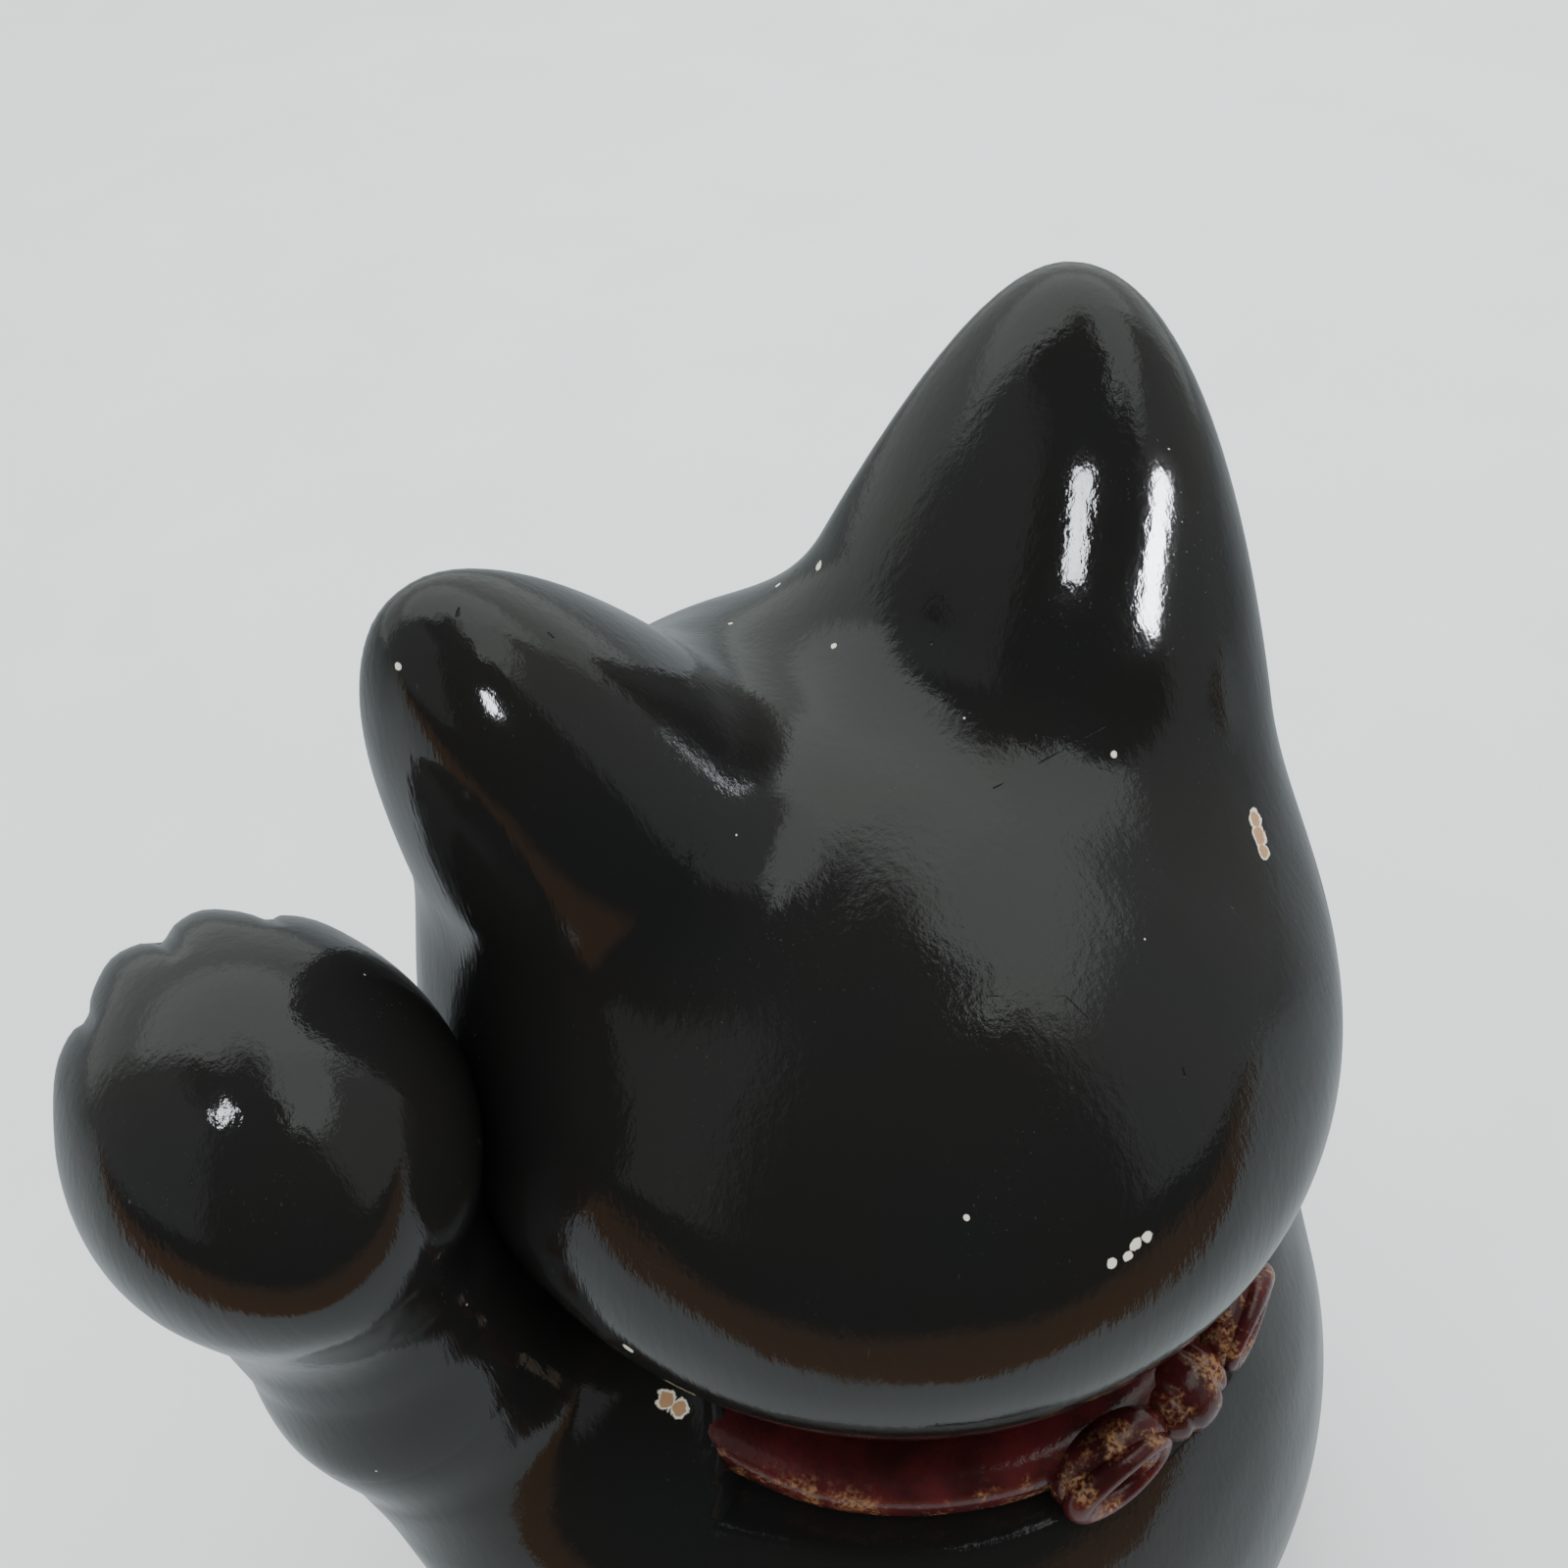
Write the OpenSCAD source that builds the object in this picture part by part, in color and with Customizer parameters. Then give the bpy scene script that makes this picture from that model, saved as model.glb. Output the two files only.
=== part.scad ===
/* [Head] */
// Half width of the head
head_half_w = 73; // [71:1:76]
// Half depth of the head, front to back
head_half_d = 77; // [74:1:79]
// Half height of the head
head_half_h = 59; // [57:1:61]
// Height of the head's centre above the table
head_z = 178; // [176:1:180]
// Height of the ear tips above the table
ear_tip_z = 280; // [274:1:284]
// Half the distance between the ear tips
ear_half_gap = 54; // [51:1:57]

/* [Body] */
// Half width of the torso
body_half_w = 88; // [86:1:91]
// Half depth of the torso
body_half_d = 78; // [76:1:80]
// Half height of the torso's egg shape
body_half_h = 103; // [101:1:105]
// Height of the torso's centre above the table
body_z = 51; // [50:1:52]
// Wall of the castings
wall = 5; // [4.5:0.5:6]
// Height of the joint between head and body
neck_z = 117.5; // [116.5:0.5:118.5]
// Radius of the neck
neck_r = 52; // [50:0.5:53]

/* [Base] */
// Thickness of the base plate
base_t = 6; // [5:0.5:8]
// Radius of the pour hole in the base plate
hole_r = 16; // [12:1:18]
// Running gap round the base plug
plug_gap = 0.08; // [0.05:0.01:0.1]

/* [Collar and bow] */
// Height of the collar band
collar_h = 12; // [10:0.5:13]
// How far the collar band stands out from the neck
collar_out = 10; // [9.5:0.1:10.4]

/* [Hidden] */

// Head and muzzle
head_centre = [0, 0, head_z];
head_radii = [head_half_w, head_half_d, head_half_h];
muzzle_centre = [0, 10 - head_half_d, head_z - 17];
muzzle_radii = [25, 15, 17];
muzzle_blend = 16;

// Ears, which aren't quite a pair: hand finishing left the right one taller and broader
left_ear_tip = [ear_half_gap - 1, -18, ear_tip_z - 6];
left_ear_lean = [0.39, 0.05, 1];
left_ear_spread = [15, 27];
right_ear_tip = [-ear_half_gap, -13, ear_tip_z];
right_ear_lean = [-0.27, -0.11, 1];
right_ear_spread = [21, 30];
ear_l = 92;
ear_blend = 10;

// The ears' flat fronts: how far forward they reach at one height, how much more per step down
ear_front = [-38, 245];
ear_front_slope = 0.36;
ear_front_ease = 8;

// Torso, shoulders, chest and haunches; the pairs are given for the cat's left
body_centre = [0, 13, body_z];
body_radii = [body_half_w, body_half_d, body_half_h];
body_middle = [0, 8, 58];
shoulder_centre = [56, 3, body_z + 38];
shoulder_radii = [35, 35, 32];
chest_centre = [0, -20, body_z + 46];
chest_radii = [38, 38, 34];
haunch_centre = [56, -14, 36];
haunch_radii = [38, 52, 38];
body_blend = 20;

// Hind paws
hind_paw_centre = [47, -66, 13];
hind_paw_radii = [19, 26, 15];

// Raised left foreleg: shoulder, wrist and hand, then the paw
arm_points = [[75, -6, 87], [89, -12, 146], [93, -14, 200]];
arm_radii = [28, 22, 23];
arm_blend = 8;
arm_middle = [88, -12, 150];
paw_centre = [93, -14, 210];
paw_radii = [25, 32, 27];
paw_blend = 16;

// Standing right foreleg
leg_top = [-28, -50, 96];
leg_bottom = [-25, -72, 22];
leg_top_r = 17;
leg_bottom_r = 15;
leg_middle = [-27, -60, 55];
fore_paw_centre = [-24, -80, 13];
fore_paw_radii = [17, 21, 14];
fore_paw_blend = 8;

// Tail
tail_root = [-8, 84, 21];
tail_bend = [16, 90, 20];
tail_tip = [42, 82, 27];
tail_r = 14;
tail_taper = 1.5;                             // what each half of the tail loses in radius
tail_blend = 8;

// Collar
neck_y = 7;                                   // the neck stands a little behind the middle
neck_l = 30;
collar_tube_r = 6.6;
collar_gap = 0.1;                             // what is modelled onto the collar stands this clear of it
collar_r = neck_r + collar_out;               // outer radius of the collar band

// Bow, by bearings round the neck in degrees
bow_bearing = -8;
bow_depth = 6;
knot_w = 18;
knot_h = 16;
knot_lift = 1;                                // how far the knot's middle stands out from the collar
loop_bearing = 16;
loop_tilt = 8;
loop_l = 23;
loop_h = 18;

// Bell
bell_r = 10;
bell_drop = 11;
bell_belt_h = 2.4;
bell_belt_out = 0.9;
bell_slot_w = 2;
bell_lug_r = 3;
bell_lug_l = collar_h / 2 + bell_drop;
bell_out = 2;                                 // how far the bell's middle stands in front of the collar
bell_centre = [0, neck_y - collar_r - bell_out, neck_z - bell_drop];

// Pour hole and plug
hole_y = 30;                                  // the pour hole sits behind the plate's middle
flange_out = 4;
flange_t = 2.4;
flange_gap = 0.3;
flange_recess = 0.8;
plug_l = base_t + 2;

// Facets round the skins, and from top to bottom
round_sides = 48;
small_sides = 28;
head_rings = 28;
body_rings = 22;
arm_rings = 20;
leg_rings = 16;
tail_rings = 12;
hollow_share = 0.65;                          // a hollow has this share of its skin's rings
halvings = 12;                                // a skin point is found by halving its ray this often

// No skin reaches further than this from its middle
head_far = 160;
body_far = 130;
arm_far = 110;
leg_far = 90;
tail_far = 60;
block = 400;                                  // larger than the whole figurine

/* Surface rules: each gives a number below 0 inside the shape and above 0 outside */

// The smaller of two rules, eased over the width k where they are close
function blended(a, b, k) = min(a, b) - pow(max(k - abs(a - b), 0), 2) / (4 * k);

// The larger of two rules, eased over the width k where they are close
function trimmed(a, b, k) = -blended(-a, -b, k);

// Ellipsoid with centre c and radii r
function ellipsoid_rule(p, c, r) =
    let (q = p - c)
    let (near = norm([q.x / r.x, q.y / r.y, q.z / r.z]))
    let (slope = norm([q.x / pow(r.x, 2), q.y / pow(r.y, 2), q.z / pow(r.z, 2)]))
    near * (near - 1) / max(slope, 0.000001);

// Round-ended limb from centre a with radius ra to centre b with radius rb
function limb_rule(p, a, b, ra, rb) =
    let (t = max(0, min(1, ((p - a) * (b - a)) / ((b - a) * (b - a)))))
    norm(p - a - t * (b - a)) - ra - t * (rb - ra);

// Ear: a blunt cone along its lean, as wide at each depth as the root of that depth times its spread
function ear_rule(p, tip, lean, spread) =
    let (w = lean / norm(lean))
    let (u = cross([0, 1, 0], w) / norm(cross([0, 1, 0], w)))
    let (v = cross(w, u))
    let (a = (p - tip) * u)
    let (b = (p - tip) * v)
    let (depth = (tip - p) * w)
    let (slope = sqrt(1 + pow(2 * a / spread[0], 2) + pow(2 * b / spread[1], 2)))
    let (cone = (a * a / spread[0] + b * b / spread[1] - depth) / slope)
    let (front = ear_front[0] - ear_front_slope * (ear_front[1] - p.z) - p.y)
    max(trimmed(cone, front / norm([1, ear_front_slope]), ear_front_ease), depth - ear_l);

// Whole outer skin of the head with its ears and muzzle
head_rule = function(p) let (
    skull = ellipsoid_rule(p, head_centre, head_radii),
    muzzled = blended(skull, ellipsoid_rule(p, muzzle_centre, muzzle_radii), muzzle_blend),
    one_ear = blended(muzzled, ear_rule(p, left_ear_tip, left_ear_lean, left_ear_spread), ear_blend)
) blended(one_ear, ear_rule(p, right_ear_tip, right_ear_lean, right_ear_spread), ear_blend);

// Torso with its shoulders, chest and haunches
body_rule = function(p) let (
    q = [abs(p.x), p.y, p.z],
    torso = ellipsoid_rule(p, body_centre, body_radii),
    shouldered = blended(torso, ellipsoid_rule(q, shoulder_centre, shoulder_radii), body_blend),
    chested = blended(shouldered, ellipsoid_rule(p, chest_centre, chest_radii), body_blend)
) blended(chested, ellipsoid_rule(q, haunch_centre, haunch_radii), body_blend);

// Raised foreleg: upper arm, forearm and the big rounded paw
raised_foreleg_rule = function(p) let (
    upper = limb_rule(p, arm_points[0], arm_points[1], arm_radii[0], arm_radii[1]),
    lower = limb_rule(p, arm_points[1], arm_points[2], arm_radii[1], arm_radii[2])
) blended(blended(upper, lower, arm_blend), ellipsoid_rule(p, paw_centre, paw_radii), paw_blend);

// Standing foreleg: a straight limb and a paw on the table
standing_foreleg_rule = function(p) let (
    limb = limb_rule(p, leg_top, leg_bottom, leg_top_r, leg_bottom_r)
) blended(limb, ellipsoid_rule(p, fore_paw_centre, fore_paw_radii), fore_paw_blend);

// Tail: a stub that curls round onto the haunch
tail_rule = function(p) let (
    root = limb_rule(p, tail_root, tail_bend, tail_r, tail_r - tail_taper),
    end = limb_rule(p, tail_bend, tail_tip, tail_r - tail_taper, tail_r - 2 * tail_taper)
) blended(root, end, tail_blend);

/* Skins: closed shapes found by following rays out from a centre */

// Direction at the angle a down from the top and the bearing b
function heading(a, b) = [sin(a) * cos(b), sin(a) * sin(b), cos(a)];

// Distance from c along d at which the rule turns positive, found by halving the span
function reach(rule, c, d, near, far, steps) =
    let (middle = (near + far) / 2)
    steps == 0 ? middle
    : rule(c + middle * d) < 0 ? reach(rule, c, d, middle, far, steps - 1)
    : reach(rule, c, d, near, middle, steps - 1);

// Outline of the body where it stands, as points round the body's middle
footprint = [
    for (j = [0:2 * round_sides - 1])
        let (d = heading(90, 180 * j / round_sides))
        let (c = [body_middle.x, body_middle.y, base_t])
        let (edge = c + reach(body_rule, c, d, 0, body_far, halvings) * d)
        [edge.x, edge.y]
];

// Outline of a hind paw where it stands, on the side s
function paw_footprint(s) =
    let (share = sqrt(1 - pow(1 - base_t / hind_paw_centre.z, 2)))
    [
        for (j = [0:small_sides - 1])
            let (turn = 360 * j / small_sides)
            [
                s * hind_paw_centre.x + share * hind_paw_radii.x * cos(turn),
                hind_paw_centre.y + share * hind_paw_radii.y * sin(turn)
            ]
    ];

// A skin round the centre c, no further out than far: rings of points, joined by triangles
module skin(rule, c, far, rings, sides) {
    side_points = [
        for (i = [1:rings - 1], j = [0:sides - 1])
            let (d = heading(180 * i / rings, 360 * j / sides))
            c + reach(rule, c, d, 0, far, halvings) * d
    ];
    top = c + reach(rule, c, [0, 0, 1], 0, far, halvings) * [0, 0, 1];
    bottom = c - reach(rule, c, [0, 0, -1], 0, far, halvings) * [0, 0, 1];
    last = (rings - 1) * sides;
    top_faces = [for (j = [0:sides - 1]) [last, (j + 1) % sides, j]];
    bottom_faces = [
        for (j = [0:sides - 1]) [last + 1, last - sides + j, last - sides + (j + 1) % sides]
    ];
    band_faces = [
        for (i = [0:rings - 3], j = [0:sides - 1])
            let (a = i * sides + j)
            let (b = i * sides + (j + 1) % sides)
            each [[a, b, a + sides], [b, b + sides, a + sides]]
    ];
    polyhedron(concat(side_points, [top, bottom]), concat(top_faces, band_faces, bottom_faces));
}

// Everything below the height z is cut away by this block
module below(z) {
    translate([-block / 2, -block / 2, z - block])
        cube(block);
}

// Footprint of the body and its hind paws, as thick as the base plate
module base_slab() {
    linear_extrude(base_t) {
        polygon(footprint);
        for (s = [-1, 1])
            polygon(paw_footprint(s));
    }
}

module head_outside() {
    skin(head_rule, head_centre, head_far, head_rings, round_sides);
}

module body_outside() {
    skin(body_rule, body_middle, body_far, body_rings, round_sides);
    for (s = [-1, 1])
        translate([s * hind_paw_centre.x, hind_paw_centre.y, hind_paw_centre.z])
            scale(hind_paw_radii)
                sphere(r = 1, $fn = small_sides);
}

/* Castings */

// The hollow that a casting of this rule is left with, one wall in from its skin
module hollow(rule, c, far, rings) {
    skin(function(p) rule(p) + wall, c, far, round(hollow_share * rings), small_sides);
}

module body_casting() {
    color("#202223") resize([0, 0, 0]) difference() {
        body_outside();
        hollow(body_rule, body_middle, body_far, body_rings);
        translate([0, neck_y, body_z])
            cylinder(r = neck_r - 2 * wall, h = 2 * neck_z, $fn = round_sides);
        translate([0, neck_y, neck_z])
            cylinder(r = 2 * body_half_w, h = neck_z, $fn = round_sides);
        below(base_t);
    }
}

module head_casting() {
    color("#202223") resize([0, 0, 0]) difference() {
        union() {
            head_outside();
            translate([0, neck_y, neck_z])
                cylinder(r = neck_r, h = neck_l, $fn = 2 * round_sides);
        }
        hollow(head_rule, head_centre, head_far, head_rings);
        translate([0, neck_y, neck_z - 1])
            cylinder(r = neck_r - 2 * wall, h = neck_l, $fn = round_sides);
        below(neck_z);
    }
}

// Flat clay plate that closes the casting, with the pour hole and the plug's counterbore
module base_plate() {
    color("#3a3634") difference() {
        base_slab();
        translate([0, hole_y, -1])
            cylinder(r = hole_r, h = base_t + 2);
        translate([0, hole_y, -1])
            cylinder(r = hole_r + flange_out, h = flange_t + flange_recess + 1);
    }
}

module base_plug() {
    color("#2b2b2b") translate([0, hole_y, 0]) {
        translate([0, 0, flange_recess])
            cylinder(r = hole_r + flange_out - flange_gap, h = flange_t);
        translate([0, 0, flange_recess + flange_t])
            cylinder(r = hole_r - plug_gap, h = plug_l);
    }
}

/* Limbs, luted onto the body; the raised one leans on the head too */

module raised_foreleg() {
    color("#202223") resize([0, 0, 0]) difference() {
        skin(raised_foreleg_rule, arm_middle, arm_far, arm_rings, small_sides);
        hollow(raised_foreleg_rule, arm_middle, arm_far, arm_rings);
        body_outside();
        head_outside();
        collar_mesh();
    }
}

module standing_foreleg() {
    color("#202223") resize([0, 0, 0]) difference() {
        skin(standing_foreleg_rule, leg_middle, leg_far, leg_rings, small_sides);
        body_outside();
        base_slab();
        below(0);
    }
}

module tail() {
    color("#202223") resize([0, 0, 0]) difference() {
        skin(tail_rule, tail_bend, tail_far, tail_rings, small_sides);
        body_outside();
        base_slab();
        below(0);
    }
}

/* Collar, bow and bell */

// Round band that sits on the body's rim, round the head's neck
module collar_band() {
    color("#a3261f") translate([0, neck_y, neck_z])
        rotate_extrude($fn = 2 * round_sides)
            intersection() {
                translate([collar_r - collar_tube_r, collar_h / 2])
                    circle(r = collar_tube_r);
                translate([neck_r, 0])
                    square([2 * collar_tube_r, collar_h]);
            }
}

// Puts its children on the collar at the bearing a from the middle of the back, towards the cat's left
module on_collar(a) {
    translate([0, neck_y, neck_z + collar_h / 2])
        rotate([0, 0, -a])
            translate([0, collar_r, 0])
                children();
}

// Cuts a bow piece where it meets the collar and the neck
module trimmed_to_collar() {
    resize([0, 0, 0]) difference() {
        children();
        translate([0, neck_y, neck_z - collar_h])
            cylinder(r = collar_r - collar_tube_r / 2, h = 4 * collar_h, $fn = 2 * round_sides);
        collar_mesh();
        body_outside();
    }
}

// The collar's ring as plain triangles, a little larger, to cut its neighbours clear of it
module collar_mesh() {
    translate([0, neck_y, neck_z])
        rotate_extrude($fn = 2 * round_sides)
            translate([collar_r - collar_tube_r, collar_h / 2])
                circle(r = collar_tube_r + collar_gap, $fn = small_sides);
}

module knot_shape() {
    on_collar(bow_bearing)
        translate([0, knot_lift, 0])
            scale([knot_w / 2, bow_depth, knot_h / 2])
                sphere(r = 1, $fn = small_sides);
}

// One loop of the bow: an egg lying along the collar, towards the side s
module loop_shape(s) {
    on_collar(bow_bearing + s * loop_bearing)
        rotate([0, s * loop_tilt, 0])
            scale([loop_l / 2, bow_depth, loop_h / 2])
                sphere(r = 1, $fn = small_sides);
}

module bow_knot() {
    color("#a3261f") trimmed_to_collar()
        knot_shape();
}

module bow_loop(s) {
    trimmed_to_collar()
        difference() {
            loop_shape(s);
            knot_shape();
        }
}

module bow_loop_left() {
    color("#a3261f") bow_loop(1);
}

module bow_loop_right() {
    color("#a3261f") bow_loop(-1);
}

// Round bell with a belt and a slot, moulded against the chest
module bell() {
    color("#b8912f") resize([0, 0, 0]) difference() {
        translate(bell_centre)
            bell_shape();
        body_outside();
    }
}

module bell_shape() {
    difference() {
        union() {
            sphere(r = bell_r, $fn = small_sides);
            translate([0, 0, -bell_belt_h / 2])
                cylinder(r = bell_r + bell_belt_out, h = bell_belt_h, $fn = small_sides);
        }
        translate([-bell_r, -bell_slot_w / 2, -2 * bell_r])
            cube([2 * bell_r, bell_slot_w, 1.5 * bell_r]);
    }
}

// Short lug that joins the bell to the collar
module bell_loop() {
    color("#b8912f") resize([0, 0, 0]) difference() {
        translate([0, bell_centre.y, bell_centre.z])
            cylinder(r = bell_lug_r, h = bell_lug_l, $fn = small_sides);
        translate(bell_centre)
            bell_shape();
        collar_mesh();
        body_outside();
    }
}

body_casting();
base_plate();
head_casting();
raised_foreleg();
standing_foreleg();
tail();
collar_band();
bow_knot();
bow_loop_left();
bow_loop_right();
bell();
bell_loop();
base_plug();
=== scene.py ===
# Beckoning cat figurine: a black lacquered earthenware cat with a red collar and bow and a gilt bell
import math

import bpy
import numpy as np
from mathutils import Matrix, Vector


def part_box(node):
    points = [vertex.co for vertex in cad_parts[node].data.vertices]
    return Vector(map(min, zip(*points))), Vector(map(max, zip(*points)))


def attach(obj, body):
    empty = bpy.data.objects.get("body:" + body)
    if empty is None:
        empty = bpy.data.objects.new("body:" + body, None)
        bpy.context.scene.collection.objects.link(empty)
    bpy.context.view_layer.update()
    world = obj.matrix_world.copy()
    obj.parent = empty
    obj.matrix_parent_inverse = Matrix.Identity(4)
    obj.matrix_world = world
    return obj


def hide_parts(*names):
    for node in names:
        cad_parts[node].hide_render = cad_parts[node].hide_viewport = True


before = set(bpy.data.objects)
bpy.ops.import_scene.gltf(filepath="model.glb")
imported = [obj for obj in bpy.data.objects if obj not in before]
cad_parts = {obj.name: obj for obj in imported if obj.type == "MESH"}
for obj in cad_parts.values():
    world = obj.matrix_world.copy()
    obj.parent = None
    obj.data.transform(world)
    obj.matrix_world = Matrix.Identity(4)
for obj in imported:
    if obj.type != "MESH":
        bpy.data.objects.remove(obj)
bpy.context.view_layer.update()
mm = 0.001
sides = ((1, "left"), (-1, "right"))      # of the cat, + along x


# Corners of a CAD node in millimetres
def boxMm(node):
    return np.array([list(corner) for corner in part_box(node)]) / mm


headBox = boxMm("head_casting")
collarBox = boxMm("collar_band")
plateBox = boxMm("base_plate")
plugBox = boxMm("base_plug")
bellBox = boxMm("bell")
neckZ = headBox[0][2]
earTipZ = headBox[1][2]
plateTop = plateBox[1][2]
collarMiddle = collarBox.mean(0)
collarOuter = (collarBox[1][0] - collarBox[0][0]) / 2


camera = {
    "bearing": 34.8,  # degrees from straight behind the cat, towards its left
    "height": 44.65,  # degrees above the horizon
    "distance": 265.5,  # mm
    "target": (-0.4, -20.4, 206.2),
    "tilt": -4.95,  # degrees the phone was turned about its own axis
    "lens": 37.8,
}


# Object whose axes point right, up and back, at a place in mm
def placed(name, data, right, up, back, place):
    thing = bpy.data.objects.new(name, data)
    bpy.context.scene.collection.objects.link(thing)
    grid = np.eye(4)
    grid[:3] = np.stack([right, up, back, np.array(place) * mm], -1)
    thing.matrix_world = Matrix(grid.tolist())
    return thing


# The camera looks back along its bearing and height to the target
def makeCamera():
    bearing = math.radians(camera["bearing"])
    height = math.radians(camera["height"])
    back = np.array([
        math.sin(bearing) * math.cos(height),
        math.cos(bearing) * math.cos(height),
        math.sin(height),
    ])
    right = np.cross(-back, [0, 0, 1])
    right /= np.linalg.norm(right)
    up = np.cross(right, -back)
    turn = math.radians(camera["tilt"])
    tiltedRight = right * math.cos(turn) + up * math.sin(turn)
    tiltedUp = up * math.cos(turn) - right * math.sin(turn)
    data = bpy.data.cameras.new("phone")
    data.lens = camera["lens"]
    data.sensor_width = 36
    data.clip_start = 0.01
    data.clip_end = 100
    middle = np.array(camera["target"]) + back * camera["distance"]
    bpy.context.scene.camera = placed("phone", data, tiltedRight, tiltedUp, back, middle)


makeCamera()
print("camera set")


# sRGB hex to the linear values that nodes work in
def linear(hexColour):
    shares = [int(hexColour[i:i + 2], 16) / 255 for i in (1, 3, 5)]
    return [v / 12.92 if v <= 0.04045 else ((v + 0.055) / 1.055) ** 2.4 for v in shares] + [1]


# Adds a shader node of a kind, sets its properties and inputs, and links the inputs that are given as sockets
def addNode(tree, kind, settings=None, **inputs):
    node = tree.nodes.new("ShaderNode" + kind)
    for name, value in (settings or {}).items():
        setattr(node, name, value)
    for name, value in inputs.items():
        key = int(name[1:]) if name[0] == "i" and name[1:].isdigit() else name.replace("_", " ")
        socket = node.inputs[key]
        if isinstance(value, bpy.types.NodeSocket):
            tree.links.new(value, socket)
        else:
            socket.default_value = value
    return node


# Math node: the operation on its two or three values
def maths(tree, operation, *values):
    inputs = {"i%d" % k: value for k, value in enumerate(values)}
    return addNode(tree, "Math", {"operation": operation}, **inputs).outputs[0]


# Vector math node: the operation on its two vectors
def vectorMaths(tree, operation, a, b, output=0):
    return addNode(tree, "VectorMath", {"operation": operation}, i0=a, i1=b).outputs[output]


# Product of two values
def times(tree, a, b):
    return maths(tree, "MULTIPLY", a, b)


# How far a point lies along a direction: their dot product
def dotted(tree, where, direction):
    return vectorMaths(tree, "DOT_PRODUCT", where, direction, "Value")


# Straight line that takes low to toLow and high to toHigh, held flat beyond both
def mapped(tree, value, low, high, toLow=0.0, toHigh=1.0):
    return addNode(tree, "MapRange", None, Value=value, From_Min=low, From_Max=high,
                   To_Min=toLow, To_Max=toHigh).outputs["Result"]


# The same from 0 to 1, with a smooth start and end
def eased(tree, value, low, high):
    return addNode(tree, "MapRange", {"interpolation_type": "SMOOTHSTEP"}, Value=value,
                   From_Min=low, From_Max=high).outputs["Result"]


# Colour a where the share is 0, b where it is 1; either may be in hex
def mixed(tree, share, a, b):
    a, b = (linear(colour) if isinstance(colour, str) else colour for colour in (a, b))
    return addNode(tree, "Mix", {"data_type": "RGBA"}, i0=share, i6=a, i7=b).outputs[2]


# Largest of the masks
def larger(tree, masks):
    total = masks[0]
    for mask in masks[1:]:
        total = maths(tree, "MAXIMUM", total, mask)
    return total


# Noise whose hills are about sizeMm apart; stretch gives a scale and a turn for each axis
def noise(tree, where, sizeMm, detail=3.0, stretch=None, roughness=0.5):
    if stretch is not None:
        where = addNode(tree, "Mapping", None, Vector=where, Rotation=stretch[1],
                        Scale=stretch[0]).outputs[0]
    return addNode(tree, "TexNoise", None, Vector=where, Scale=1 / (sizeMm * mm), Detail=detail,
                   Roughness=roughness).outputs["Fac"]


# Tilts the normal along the slope of a height, which spans distanceMm from 0 to 1
def bumped(tree, height, distanceMm, normal=None):
    extra = {} if normal is None else {"Normal": normal}
    return addNode(tree, "Bump", None, Strength=1.0, Distance=distanceMm * mm, Height=height,
                   **extra).outputs["Normal"]


# Empty node tree of a new material, and the place in the piece's own frame
def newMaterial(name):
    material = bpy.data.materials.new(name)
    material.use_nodes = True
    tree = material.node_tree
    tree.nodes.clear()
    return material, tree, addNode(tree, "TexCoord").outputs["Object"]


# Sends a shader to the tree's output
def finishTree(tree, shader, kind="OutputMaterial"):
    out = addNode(tree, kind)
    tree.links.new(shader.outputs[0], out.inputs["Surface"])


# Coat of paint, glaze or clay: a principled surface of a colour, a roughness and a normal
def coated(tree, colour, rough, normal, ior=1.5, metallic=0.0):
    finishTree(tree, addNode(tree, "BsdfPrincipled", None, Base_Color=colour, Roughness=rough,
                             IOR=ior, Metallic=metallic, Normal=normal))


room = {
    "wall": "#d3d6d4",  # the room's walls as they light the cat
    "wallLight": 2.5,
    "mirrored": "#d5ded9",  # tint of what the lacquer mirrors
    "darkGloss": 0.004,  # the unlit part of the room, behind the camera
    "woodReflectionReach": 250.0,  # mm from the cat at which, in the gloss only, the pale floor gives way to a glowing painted reflection of a wooden floor
    "skylight": 4.5,  # brightness of the big soft light overhead
    "fray": 0.12,  # radians that the edges of what is mirrored waver by
    "floorHalf": 3.0,  # m
    "glossShadeSpan": (-0.15, 0.02),  # m along the camera's bearing over which the floor's painted shade, seen only in the gloss, pales towards the camera
    "woodSoft": 20,  # mm over which the painted wood reflection sets in
    "woodDark": (150, 330),  # mm past its start between which the painted wood reflection fades to painted dark
    "edgeWaver": 0.03,  # m that its edge wanders
}


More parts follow.
